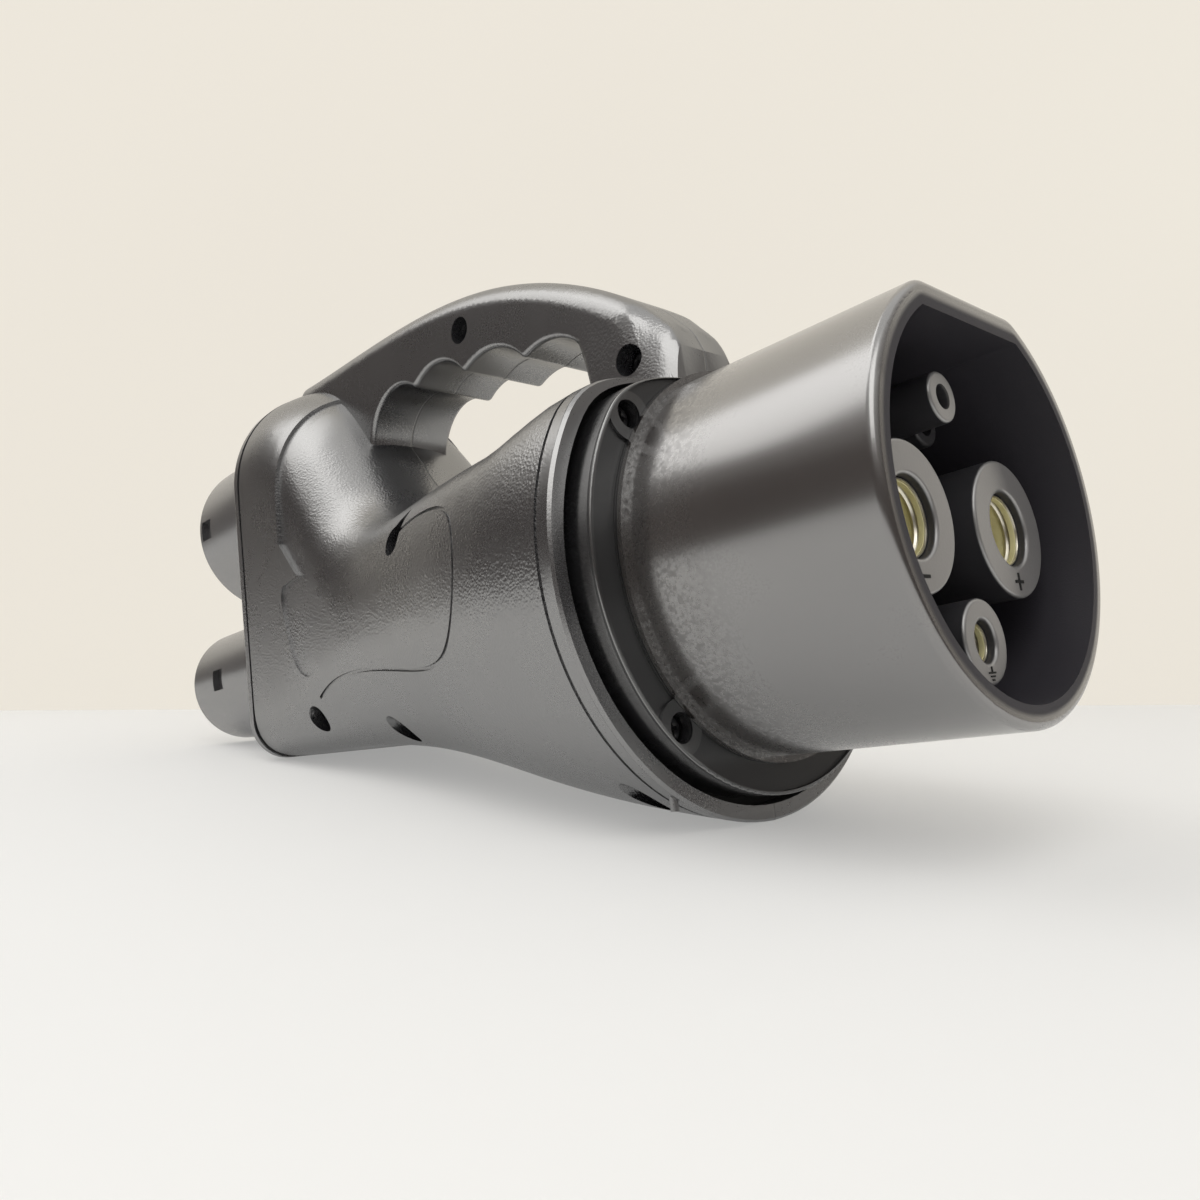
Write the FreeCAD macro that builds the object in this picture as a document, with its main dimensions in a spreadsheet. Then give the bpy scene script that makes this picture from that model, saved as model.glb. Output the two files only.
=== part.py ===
import FreeCAD, Part
import math
import os
import Sketcher

# Electric vehicle charging adapter: a straight two-half grip housing with a D-shaped
# inlet shell at the front (+X) and a double-barrel plug at the back (-X).
# Everything is drawn level, with X along the axis of the D-shell, x = 0 on its face and
# z = 0 on its axis, and is then tipped nose-up as it lies on a table.
# The right side is -Y, the left side is +Y.  Millimetres.

doc = FreeCAD.newDocument("charging_adapter")
sheet = doc.addObject("Spreadsheet::Sheet", "Dim")

sizes = {
    # Front D-shell and its flange
    "shell_radius": 38.0,
    "shell_flat": 34.5,
    "shell_corner": 7.0,
    "shell_depth": 50.5,
    "shell_wall": 4.0,
    "shell_flat_wall": 4.8,
    "shell_edge_round": 1.4,
    "flange_radius": 45.3,
    "flange_thick": 9.0,
    "flange_edge_round": 0.5,
    "flange_rim": 0.7,
    "flange_sunk": 0.6,
    "flange_boss_radius": 5.2,
    "bead_width": 1.3,
    "bead_height": 1.2,
    "upper_screw_side": 32.0,
    "upper_screw_rise": 26.5,
    "lower_screw_side": 29.0,
    "lower_screw_drop": 30.5,

    # Front insulator, its sleeves and contacts
    "insulator_front": 40.0,
    "insulator_clearance": 0.15,
    "insulator_disc_radius": 37.6,
    "insulator_disc_thick": 4.0,
    "sleeve_front": 7.2,
    "dc_side": 16.8,
    "dc_drop": 2.5,
    "dc_sleeve_radius": 12.7,
    "dc_mouth_radius": 6.8,
    "dc_socket_radius": 7.6,
    "dc_pin_radius": 6.0,
    "earth_drop": 22.7,
    "earth_sleeve_radius": 7.35,
    "earth_mouth_radius": 3.6,
    "earth_socket_radius": 4.1,
    "earth_pin_radius": 3.0,
    "signal_rise": 19.7,
    "signal_post_radius": 4.65,
    "side_signal_side": 9.5,
    "side_signal_rise": 19.0,
    "side_signal_radius": 4.3,
    "side_signal_front": 16.0,
    "signal_socket_radius": 2.2,
    "signal_pin_radius": 1.5,
    "mouth_lip_depth": 3.0,
    "socket_gap": 0.1,
    "pin_clearance": 0.1,
    "sleeve_rim": 0.6,
    "mouth_round": 0.7,
    "insulator_back_margin": 50.0,

    # Mouth of the housing round the flange
    "ring_radius": 50.3,
    "mouth_gap": 1.7,
    "lip_setback": 5.0,
    "gasket_thick": 2.0,
    "ledge_radius": 38.0,
    "ledge_thick": 12.0,
    "housing_wall": 3.0,
    "lip_round": 0.6,
    "rim_width": 3.4,
    "rim_groove_width": 0.8,
    "rim_groove_radius": 49.6,
    "nub_side": 26.0,
    "nub_setback": 2.0,
    "nub_radius": 0.8,
    "nub_top": 41.0,
    "nub_tip": 45.0,

    # Outer sections of the housing, at even steps from the mouth to the back:
    # half width, height above and below the axis, upper and lower corner rounding
    "ring_round": 49.8,
    "collar_half": 49.9,
    "collar_top": 50.3,
    "collar_drop": 47.7,
    "collar_top_round": 48.6,
    "collar_low_round": 47.8,
    "taper_half": 47.9,
    "taper_top": 50.2,
    "taper_drop": 44.6,
    "taper_top_round": 46.6,
    "taper_low_round": 45.8,
    "cone_half": 45.1,
    "cone_top": 49.5,
    "cone_drop": 40.8,
    "cone_top_round": 43.6,
    "cone_low_round": 42.4,
    "neck_half": 42.2,
    "neck_top": 47.6,
    "neck_drop": 36.2,
    "neck_top_round": 40.4,
    "neck_low_round": 38.4,
    "waist_half": 39.8,
    "waist_top": 44.4,
    "waist_drop": 31.6,
    "waist_top_round": 37.0,
    "waist_low_round": 33.6,
    "saddle_half": 38.1,
    "saddle_top": 41.2,
    "saddle_drop": 27.6,
    "saddle_top_round": 34.2,
    "saddle_low_round": 28.0,
    "root_half": 37.0,
    "root_top": 49.0,
    "root_drop": 25.1,
    "root_top_round": 32.8,
    "root_low_round": 21.5,
    "shoulder_half": 36.2,
    "shoulder_top": 75.5,
    "shoulder_drop": 24.2,
    "shoulder_top_round": 33.0,
    "shoulder_low_round": 15.5,
    "block_half": 35.6,
    "block_top": 87.0,
    "block_drop": 24.0,
    "block_top_round": 33.8,
    "block_low_round": 12.0,
    "housing_back": 205.0,
    "rear_half": 35.3,
    "rear_top": 88.5,
    "rear_drop": 24.0,
    "rear_top_round": 34.0,
    "rear_low_round": 11.0,

    # Handle over the housing: crown points, finger scallops and grip width
    "handle_half": 13.0,
    "crown_round": 6.0,
    "grip_round": 1.3,
    "cusp_round": 1.8,
    "crown_rear_z": 90.8,
    "crown_mid_x": 152.0,
    "crown_mid_z": 89.2,
    "crown_bend_x": 113.0,
    "crown_bend_z": 83.6,
    "crown_fall_x": 84.0,
    "crown_fall_z": 72.0,
    "crown_toe_z": 51.5,
    "toe_setback": 1.0,
    "handle_root_depth": 6.0,
    "handle_toe_depth": 4.0,
    "grip_heel_x": 167.0,
    "grip_heel_z": 58.0,
    "scallop_one_x": 156.5,
    "scallop_one_z": 70.8,
    "cusp_one_x": 144.0,
    "cusp_one_z": 67.8,
    "scallop_two_x": 133.0,
    "scallop_two_z": 70.8,
    "cusp_two_x": 122.5,
    "cusp_two_z": 64.2,
    "scallop_three_x": 110.0,
    "scallop_three_z": 65.9,
    "cusp_three_x": 99.3,
    "cusp_three_z": 59.1,
    "scallop_four_x": 87.5,
    "scallop_four_z": 59.6,
    "grip_toe_x": 76.0,
    "grip_toe_z": 48.0,

    # Screws that close the two halves, all from the right side
    "seam_screw_seat": 6.0,
    "seam_head_radius": 3.2,
    "seam_head_height": 2.6,
    "seam_shank_radius": 1.75,
    "seam_grip_length": 9.0,
    "seam_boss_radius": 5.6,
    "screw_clearance": 0.2,
    "seam_grip_x": 122.0,
    "seam_grip_z": 75.2,
    "seam_toe_x": 66.5,
    "seam_toe_z": 45.0,
    "seam_panel_x": 120.0,
    "seam_panel_z": 19.0,
    "seam_heel_x": 172.0,
    "seam_heel_drop": 16.0,
    "seam_belly_x": 142.0,
    "seam_belly_drop": 22.0,
    "seam_ring_x": 67.0,
    "seam_ring_drop": 42.5,

    # Small screws of the flange and of the rear plate
    "small_head_radius": 2.6,
    "small_head_height": 2.0,
    "small_shank_radius": 1.5,
    "flange_sink": 4.5,
    "flange_grip_length": 9.0,
    "small_boss_radius": 4.6,

    # Rear gasket, plate and the two barrels
    "rear_gasket_thick": 1.0,
    "rear_gasket_inset": 1.2,
    "rear_gasket_width": 2.0,
    "plate_thick": 3.0,
    "plate_round": 1.0,
    "barrel_length": 49.0,
    "upper_barrel_rise": 54.5,
    "upper_barrel_radius": 26.0,
    "lower_barrel_rise": 3.0,
    "lower_barrel_radius": 17.6,
    "rear_dc_side": 13.5,
    "spigot_step": 2.0,
    "spigot_length": 8.0,
    "barrel_edge_round": 1.2,
    "seat_clearance": 0.1,
    "rear_dc_mouth_radius": 6.5,
    "rear_dc_socket_radius": 6.0,
    "rear_dc_pin_radius": 4.0,
    "rear_earth_mouth_radius": 4.6,
    "rear_signal_side": 8.4,
    "rear_signal_rise": 13.4,
    "rear_signal_mouth_radius": 2.0,
    "spare_radius": 3.6,
    "spare_depth": 6.0,
    "spare_side": 16.4,
    "spare_low_side": 8.4,
    "spare_low_drop": 13.4,
    "window_long": 6.7,
    "window_high": 6.4,
    "window_depth": 2.2,
    "upper_window_back": 6.0,
    "lower_window_back": 19.0,
    "plate_top_screw_side": 21.2,
    "plate_top_screw_z": 75.7,
    "plate_mid_screw_side": 30.6,
    "plate_mid_screw_z": 28.0,
    "plate_low_screw_side": 28.4,
    "plate_low_screw_drop": 17.4,
    "plate_boss_length": 14.0,
    "plate_screw_spare": 4.0,

    # Contacts and conductors inside
    "socket_depth": 27.0,
    "rear_socket_depth": 30.0,
    "signal_socket_depth": 20.0,
    "socket_lead_in": 0.6,
    "tail_length": 7.0,
    "busbar_side": 15.2,
    "busbar_rise": 0.6,
    "busbar_thick": 5.0,
    "busbar_height": 8.0,
    "band_wall": 0.5,
    "band_setback": 1.0,
    "band_length": 20.0,
    "band_lead": 2.4,
    "band_flare": 0.35,
    "link_half": 2.0,
    "link_height": 5.0,
    "link_low_x": 92.0,
    "link_mid_x": 150.0,
    "link_mid_z": 5.0,

    # Label recess on the right side
    "label_front_x": 155.2,
    "label_back_x": 180.8,
    "label_top_z": 21.5,
    "label_drop": 4.8,

    # Shoulder set lower than the rear band and the side panel, and the panel's outline groove
    "mark_depth": 0.5,
    "step_depth": 1.0,
    "step_part": 0.75,
    "step_fade": 0.4,
    "step_back_x": 182.0,
    "step_turn_z": 33.0,
    "step_turn_round": 10.5,
    "step_low_x": 171.0,
    "step_low_z": 20.5,
    "step_front_x": 110.0,
    "panel_groove": 0.8,
    "panel_top_z": 20.2,
    "panel_start_x": 117.0,
    "panel_corner_x": 97.0,
    "panel_front_x": 88.0,
    "panel_front_z": 4.0,
    "panel_low_x": 118.0,
    "panel_low_drop": 10.5,
    "panel_rise_x": 148.0,
    "panel_rise_drop": 7.2,
    "panel_end_x": 167.0,
    "panel_end_drop": 11.0,
    "leaf_depth": 2.2,
    "leaf_reach": 6.4,
    "beyond": 60.0,
}

# One row of the sheet for each size
for row, (alias, value) in enumerate(sizes.items(), 1):
    sheet.set("A%d" % row, alias)
    sheet.set("B%d" % row, str(value))
    sheet.setAlias("B%d" % row, alias)
doc.recompute()

# Sections of the housing from the mouth back, each with its own sizes above
stations = ["collar", "taper", "cone", "neck", "waist", "saddle", "root", "shoulder", "block"]
SKIN_STEPS = 28
PANEL_STEPS = 24
# outline of the leaf-shaped pocket at the panel's screw, in parts of its reach from the screw
LEAF = [(-0.50, -0.16), (-0.24, -0.50), (0.27, -0.44), (0.53, -0.03),
        (0.72, 0.47), (1.00, 1.00), (0.31, 0.72), (-0.25, 0.34)]
FLANGE_X = "-Dim.shell_depth"
FLANGE_BACK = "-(Dim.shell_depth + Dim.flange_thick)"
INSULATOR_BACK = "-(Dim.shell_depth + Dim.flange_thick + Dim.insulator_disc_thick)"
LIP_X = "-(Dim.shell_depth + Dim.lip_setback)"
LEDGE_X = "-(Dim.shell_depth + Dim.flange_thick + Dim.gasket_thick)"
PLATE_FRONT = "-(Dim.housing_back + Dim.rear_gasket_thick)"
PLATE_BACK = "-(Dim.housing_back + Dim.rear_gasket_thick + Dim.plate_thick)"
TIP_X = "-(Dim.housing_back + Dim.rear_gasket_thick + Dim.plate_thick + Dim.barrel_length)"
SPIGOT_END = PLATE_BACK + " + Dim.spigot_length"


def val(expression):
    return float(sheet.evalExpression(expression))


def point(u, w):
    return FreeCAD.Vector(u, w, 0)


# Sketches, bound to the sheet
def new_body(name):
    body = doc.addObject("PartDesign::Body", name)
    body.Label = name
    return body


def origin_plane(body, role):
    for feature in body.Origin.OriginFeatures:
        if feature.Role == role:
            return feature
    raise ValueError("no plane " + role)


def new_sketch(body, name, role, offset="0"):
    sketch = body.newObject("Sketcher::SketchObject", name)
    sketch.AttachmentSupport = [(origin_plane(body, role), "")]
    sketch.MapMode = "FlatFace"
    sketch.setExpression("AttachmentOffset.Base.z", offset)
    return sketch


def bind(sketch, kind, where, expression):
    index = sketch.addConstraint(Sketcher.Constraint(kind, *where, val(expression)))
    sketch.setExpression("Constraints[%d]" % index, expression)


def hold(sketch, geometry, vertex, across, up):
    if across == "0":
        sketch.addConstraint(Sketcher.Constraint("PointOnObject", geometry, vertex, -2))
    else:
        bind(sketch, "DistanceX", (-1, 1, geometry, vertex), across)
    if up == "0":
        sketch.addConstraint(Sketcher.Constraint("PointOnObject", geometry, vertex, -1))
    else:
        bind(sketch, "DistanceY", (-1, 1, geometry, vertex), up)


def circle(sketch, across, up, radius):
    shape = Part.Circle(point(val(across), val(up)), FreeCAD.Vector(0, 0, 1), val(radius))
    index = sketch.addGeometry(shape, False)
    bind(sketch, "Radius", (index,), radius)
    hold(sketch, index, 3, across, up)


def chain(sketch, corners):
    # closed outline of straight lines through bound corners
    spots = [point(val(across), val(up)) for across, up in corners]
    lines = []
    for number, spot in enumerate(spots):
        after = spots[(number + 1) % len(spots)]
        lines.append(sketch.addGeometry(Part.LineSegment(spot, after), False))
    for number, line in enumerate(lines):
        after = lines[(number + 1) % len(lines)]
        sketch.addConstraint(Sketcher.Constraint("Coincident", line, 2, after, 1))
    for line, (across, up) in zip(lines, corners):
        hold(sketch, line, 1, across, up)


def rectangle(sketch, low, high, bottom, top):
    chain(sketch, [(low, bottom), (high, bottom), (high, top), (low, top)])


def d_outline(sketch, radius, flat):
    big, height = val(radius), val(flat)
    reach = math.sqrt(big * big - height * height)
    start = math.atan2(height, -reach)
    end = math.atan2(height, reach) + 2 * math.pi
    round_part = Part.ArcOfCircle(Part.Circle(point(0, 0), FreeCAD.Vector(0, 0, 1), big), start, end)
    arc = sketch.addGeometry(round_part, False)
    line = sketch.addGeometry(Part.LineSegment(point(reach, height), point(-reach, height)), False)
    sketch.addConstraint(Sketcher.Constraint("Coincident", arc, 3, -1, 1))
    sketch.addConstraint(Sketcher.Constraint("Coincident", arc, 2, line, 1))
    sketch.addConstraint(Sketcher.Constraint("Coincident", line, 2, arc, 1))
    sketch.addConstraint(Sketcher.Constraint("Horizontal", line))
    bind(sketch, "Radius", (arc,), radius)
    bind(sketch, "DistanceY", (-1, 1, line, 1), flat)


def obround(sketch, side, up, radius):
    half, height, big = val(side), val(up), val(radius)
    normal = FreeCAD.Vector(0, 0, 1)
    quarter = math.pi / 2
    right = sketch.addGeometry(Part.ArcOfCircle(
        Part.Circle(point(half, height), normal, big), -quarter, quarter), False)
    left = sketch.addGeometry(Part.ArcOfCircle(
        Part.Circle(point(-half, height), normal, big), quarter, 3 * quarter), False)
    top = sketch.addGeometry(Part.LineSegment(
        point(half, height + big), point(-half, height + big)), False)
    low = sketch.addGeometry(Part.LineSegment(
        point(-half, height - big), point(half, height - big)), False)
    sketch.addConstraint(Sketcher.Constraint("Tangent", right, 2, top, 1))
    sketch.addConstraint(Sketcher.Constraint("Tangent", top, 2, left, 1))
    sketch.addConstraint(Sketcher.Constraint("Tangent", left, 2, low, 1))
    sketch.addConstraint(Sketcher.Constraint("Tangent", low, 2, right, 1))
    bind(sketch, "Radius", (right,), radius)
    hold(sketch, right, 3, side, up)
    hold(sketch, left, 3, "-(" + side + ")", up)


def full_outline(sketch, half, top, drop, top_round, low_round):
    # whole rounded section, both sides of the middle plane
    width, high, low = val(half), val(top), val(drop)
    upper, lower = val(top_round), val(low_round)
    normal = FreeCAD.Vector(0, 0, 1)
    quarter = math.pi / 2
    arcs = []
    for sign, up, radius, start in ((1, high, upper, 0), (-1, high, upper, 1),
                                    (-1, -low, lower, 2), (1, -low, lower, 3)):
        inward = up - radius if up > 0 else up + radius
        ring = Part.Circle(point(sign * (width - radius), inward), normal, radius)
        arcs.append(sketch.addGeometry(
            Part.ArcOfCircle(ring, start * quarter, (start + 1) * quarter), False))
    ends = [((width - upper), high, -(width - upper), high),
            (-width, high - upper, -width, lower - low),
            (-(width - lower), -low, (width - lower), -low),
            (width, lower - low, width, high - upper)]
    for number, (u_from, w_from, u_to, w_to) in enumerate(ends):
        line = sketch.addGeometry(
            Part.LineSegment(point(u_from, w_from), point(u_to, w_to)), False)
        after = arcs[(number + 1) % 4]
        sketch.addConstraint(Sketcher.Constraint("Tangent", arcs[number], 2, line, 1))
        sketch.addConstraint(Sketcher.Constraint("Tangent", line, 2, after, 1))
        kind = "Horizontal" if number % 2 == 0 else "Vertical"
        sketch.addConstraint(Sketcher.Constraint(kind, line))
    sketch.addConstraint(Sketcher.Constraint("Equal", arcs[0], arcs[1]))
    sketch.addConstraint(Sketcher.Constraint("Equal", arcs[2], arcs[3]))
    bind(sketch, "Radius", (arcs[0],), top_round)
    bind(sketch, "Radius", (arcs[2],), low_round)
    bind(sketch, "DistanceX", (-1, 1, arcs[0], 1), half)
    bind(sketch, "DistanceX", (-1, 1, arcs[1], 2), "-(" + half + ")")
    bind(sketch, "DistanceY", (-1, 1, arcs[0], 2), top)
    bind(sketch, "DistanceY", (-1, 1, arcs[2], 2), "-(" + drop + ")")


# Features
def pad(body, sketch, length, name, backwards=False):
    feature = body.newObject("PartDesign::Pad", name)
    feature.Profile = sketch
    feature.setExpression("Length", length)
    feature.Reversed = backwards
    body.Tip = feature
    doc.recompute()
    return feature


def pocket(body, sketch, length, name, backwards=False):
    doc.recompute()
    before = body.Tip.Shape.Volume
    feature = body.newObject("PartDesign::Pocket", name)
    feature.Profile = sketch
    feature.setExpression("Length", length)
    feature.Reversed = backwards
    body.Tip = feature
    doc.recompute()
    if feature.Shape.Volume > before - 1e-6:
        raise ValueError("%s %s cuts nothing" % (body.Label, name))
    return feature


def fillet(body, radius, name, chosen):
    doc.recompute()
    base = body.Tip
    edges = ["Edge%d" % (number + 1) for number, edge in enumerate(base.Shape.Edges) if chosen(edge)]
    if not edges:
        raise ValueError("%s %s finds no edge" % (body.Label, name))
    feature = body.newObject("PartDesign::Fillet", name)
    feature.Base = (base, edges)
    feature.setExpression("Radius", radius)
    body.Tip = feature
    doc.recompute()
    return feature


def revolve(body, sketch, name):
    feature = body.newObject("PartDesign::Revolution", name)
    feature.Profile = sketch
    feature.ReferenceAxis = (sketch, ["H_Axis"])
    feature.Angle = 360
    body.Tip = feature
    doc.recompute()
    return feature


def at_x(edge, x_value, slack=0.01):
    box = edge.BoundBox
    return abs(box.XMin - x_value) < slack and abs(box.XMax - x_value) < slack


nodes = {}


# Front shroud: D-shell and round flange in one moulding
shroud = new_body("front_shroud")
outline = new_sketch(shroud, "ShellOutline", "YZ_Plane", FLANGE_X)
d_outline(outline, "Dim.shell_radius", "Dim.shell_flat")
pad(shroud, outline, "Dim.shell_depth", "Shell")
fillet(shroud, "Dim.shell_corner", "ShellCorners",
       lambda edge: edge.BoundBox.XLength > val("Dim.shell_depth") - 1)
fillet(shroud, "Dim.shell_edge_round", "ShellFrontEdge", lambda edge: at_x(edge, 0))
bead = new_sketch(shroud, "BeadOutline", "YZ_Plane", FLANGE_X)
circle(bead, "0", "0", "Dim.shell_radius + Dim.bead_width")
pad(shroud, bead, "Dim.bead_height", "Bead")
flange = new_sketch(shroud, "FlangeOutline", "YZ_Plane", FLANGE_BACK)
circle(flange, "0", "0", "Dim.flange_radius")
pad(shroud, flange, "Dim.flange_thick", "Flange")
fillet(shroud, "Dim.flange_edge_round", "FlangeEdge",
       lambda edge: at_x(edge, val(FLANGE_X)) and edge.BoundBox.YLength > 2 * val("Dim.flange_radius") - 1)
cavity = new_sketch(shroud, "CavityOutline", "YZ_Plane")
d_outline(cavity, "Dim.shell_radius - Dim.shell_wall", "Dim.shell_flat - Dim.shell_flat_wall")
pocket(shroud, cavity, "Dim.shell_depth + Dim.flange_thick + 1", "Cavity")


def flange_screw_circles(sketch, radius):
    for side in ("", "-"):
        circle(sketch, side + "Dim.upper_screw_side", "Dim.upper_screw_rise", radius)
        circle(sketch, side + "Dim.lower_screw_side", "-Dim.lower_screw_drop", radius)


sinks = new_sketch(shroud, "ScrewSinks", "YZ_Plane", "-Dim.shell_depth + 1")
flange_screw_circles(sinks, "Dim.small_head_radius + Dim.screw_clearance")
pocket(shroud, sinks, "Dim.flange_sink + 1", "Sinks")
holes = new_sketch(shroud, "ScrewHoles", "YZ_Plane", FLANGE_X)
flange_screw_circles(holes, "Dim.small_shank_radius + Dim.screw_clearance")
pocket(shroud, holes, "Dim.flange_thick + 1", "Holes")

# flange face sunk between the four screws
sunk = new_body("flange_sunk")
annulus = new_sketch(sunk, "Annulus", "YZ_Plane", FLANGE_X + " - Dim.flange_sunk")
circle(annulus, "0", "0", "Dim.flange_radius - Dim.flange_rim")
circle(annulus, "0", "0", "Dim.shell_radius + Dim.bead_width")
pad(sunk, annulus, "Dim.flange_sunk + 1", "AnnulusPad")
bosses = new_sketch(sunk, "Bosses", "YZ_Plane", FLANGE_X + " + 1")
flange_screw_circles(bosses, "Dim.flange_boss_radius")
pocket(sunk, bosses, "Dim.flange_sunk + 2", "BossGaps")
faced = doc.addObject("Part::Cut", "faced_shroud")
faced.Base = shroud
faced.Tool = sunk
nodes["front_shroud"] = faced


# Front insulator: D plug with a rear disc, three signal posts and seats for the contacts
block = new_body("front_insulator")
plug = new_sketch(block, "PlugOutline", "YZ_Plane", FLANGE_BACK)
d_outline(plug, "Dim.shell_radius - Dim.shell_wall - Dim.insulator_clearance",
          "Dim.shell_flat - Dim.shell_flat_wall - Dim.insulator_clearance")
pad(block, plug, "Dim.shell_depth + Dim.flange_thick - Dim.insulator_front", "Plug")
disc = new_sketch(block, "DiscOutline", "YZ_Plane", FLANGE_BACK)
circle(disc, "0", "0", "Dim.insulator_disc_radius")
pad(block, disc, "Dim.insulator_disc_thick", "Disc", True)
posts = new_sketch(block, "MiddlePost", "YZ_Plane", "-Dim.insulator_front")
circle(posts, "0", "Dim.signal_rise", "Dim.signal_post_radius")
pad(block, posts, "Dim.insulator_front - Dim.sleeve_front", "MiddlePostPad")
posts = new_sketch(block, "SidePosts", "YZ_Plane", "-Dim.insulator_front")
circle(posts, "Dim.side_signal_side", "Dim.side_signal_rise", "Dim.side_signal_radius")
circle(posts, "-Dim.side_signal_side", "Dim.side_signal_rise", "Dim.side_signal_radius")
pad(block, posts, "Dim.insulator_front - Dim.side_signal_front", "SidePostPads")
fillet(block, "Dim.sleeve_rim", "PostRims",
       lambda edge: at_x(edge, -val("Dim.sleeve_front")) or at_x(edge, -val("Dim.side_signal_front")))
seats = new_sketch(block, "DcSeats", "YZ_Plane", "-Dim.insulator_front")
circle(seats, "Dim.dc_side", "-Dim.dc_drop", "Dim.dc_socket_radius + Dim.socket_gap")
circle(seats, "-Dim.dc_side", "-Dim.dc_drop", "Dim.dc_socket_radius + Dim.socket_gap")
circle(seats, "0", "-Dim.earth_drop", "Dim.earth_socket_radius + Dim.socket_gap")
pocket(block, seats, "Dim.insulator_back_margin", "ContactSeats")
pins = new_sketch(block, "SignalBores", "YZ_Plane", "0")
circle(pins, "0", "Dim.signal_rise", "Dim.signal_socket_radius + Dim.socket_gap")
circle(pins, "Dim.side_signal_side", "Dim.side_signal_rise", "Dim.signal_socket_radius + Dim.socket_gap")
circle(pins, "-Dim.side_signal_side", "Dim.side_signal_rise", "Dim.signal_socket_radius + Dim.socket_gap")
pocket(block, pins, "Dim.shell_depth + Dim.flange_thick + Dim.insulator_disc_thick + 1", "Bores")
nodes["front_insulator"] = block


# Touch-proof sleeves round the front contacts
def sleeve(name, outer, mouth, socket):
    body = new_body(name)
    ring = new_sketch(body, "Outer", "YZ_Plane", "-Dim.insulator_front")
    circle(ring, "0", "0", outer)
    pad(body, ring, "Dim.insulator_front - Dim.sleeve_front", "Tube")
    fillet(body, "Dim.sleeve_rim", "Rim", lambda edge: at_x(edge, -val("Dim.sleeve_front")))
    opening = new_sketch(body, "Mouth", "YZ_Plane", "-Dim.sleeve_front")
    circle(opening, "0", "0", mouth)
    pocket(body, opening, "Dim.mouth_lip_depth + 1", "MouthBore")
    fillet(body, "Dim.mouth_round", "MouthRound",
           lambda edge: at_x(edge, -val("Dim.sleeve_front")) and edge.BoundBox.YLength < 2.1 * val(mouth))
    inner = new_sketch(body, "Seat", "YZ_Plane", "-(Dim.sleeve_front + Dim.mouth_lip_depth)")
    circle(inner, "0", "0", socket + " + Dim.socket_gap")
    pocket(body, inner, "Dim.insulator_front", "SocketSeat")
    return body


nodes["dc_plus_sleeve"] = sleeve("dc_plus_sleeve", "Dim.dc_sleeve_radius",
                                 "Dim.dc_mouth_radius", "Dim.dc_socket_radius")
nodes["dc_minus_sleeve"] = sleeve("dc_minus_sleeve", "Dim.dc_sleeve_radius",
                                  "Dim.dc_mouth_radius", "Dim.dc_socket_radius")
nodes["earth_sleeve"] = sleeve("earth_sleeve", "Dim.earth_sleeve_radius",
                               "Dim.earth_mouth_radius", "Dim.earth_socket_radius")


# Turned contact sockets: a blind bore with a lead-in, a thinner shank and a flat tail
def socket(name, bore, outer, depth, length, front="0", banded=False):
    body = new_body(name)
    profile = new_sketch(body, "Profile", "XZ_Plane")
    tail = front + " - (" + length + ")"
    floor = front + " - (" + depth + ")"
    corners = [
        (front, bore + " + Dim.socket_lead_in"),
        (front, outer),
        (tail, outer),
        (tail, "0"),
        (floor, "0"),
        (floor, bore),
    ]
    if banded:
        band_front = front + " - Dim.band_setback"
        band_back = band_front + " - Dim.band_length"
        corners += [
            (band_back, bore),
            (band_back, bore + " + Dim.band_wall"),
            (band_front, bore + " + Dim.band_wall"),
            (band_front, bore),
        ]
    corners.append((front + " - Dim.socket_lead_in", bore))
    chain(profile, corners)
    revolve(body, profile, "Turning")
    return body


FRONT_SOCKET_X = "-(Dim.sleeve_front + Dim.mouth_lip_depth + Dim.socket_gap)"
FRONT_SOCKET_LENGTH = ("Dim.shell_depth + Dim.flange_thick + Dim.insulator_disc_thick + Dim.tail_length"
                       " - (Dim.sleeve_front + Dim.mouth_lip_depth + Dim.socket_gap)")
for sign in ("plus", "minus"):
    nodes["dc_%s_socket" % sign] = socket(
        "dc_%s_socket" % sign, "Dim.dc_pin_radius + Dim.pin_clearance", "Dim.dc_socket_radius",
        "Dim.socket_depth", FRONT_SOCKET_LENGTH, FRONT_SOCKET_X, True)
    # spring band that grips the pin, set in the socket's groove
    band = new_body("dc_%s_band" % sign)
    profile = new_sketch(band, "Profile", "XZ_Plane")
    band_bore = "Dim.dc_pin_radius + Dim.pin_clearance"
    band_outer = band_bore + " + Dim.band_wall - Dim.socket_gap / 4"
    band_front = FRONT_SOCKET_X + " - Dim.band_setback - Dim.socket_gap"
    band_back = FRONT_SOCKET_X + " - Dim.band_setback - Dim.band_length + Dim.socket_gap"
    chain(profile, [
        (band_front, band_bore + " + Dim.band_flare"),
        (band_front, band_outer),
        (band_back, band_outer),
        (band_back, band_bore),
        (band_front + " - Dim.band_lead", band_bore),
    ])
    revolve(band, profile, "Turning")
    nodes["dc_%s_band" % sign] = band
nodes["earth_socket"] = socket(
    "earth_socket", "Dim.earth_pin_radius + Dim.pin_clearance", "Dim.earth_socket_radius",
    "Dim.socket_depth", FRONT_SOCKET_LENGTH, FRONT_SOCKET_X)


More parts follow.
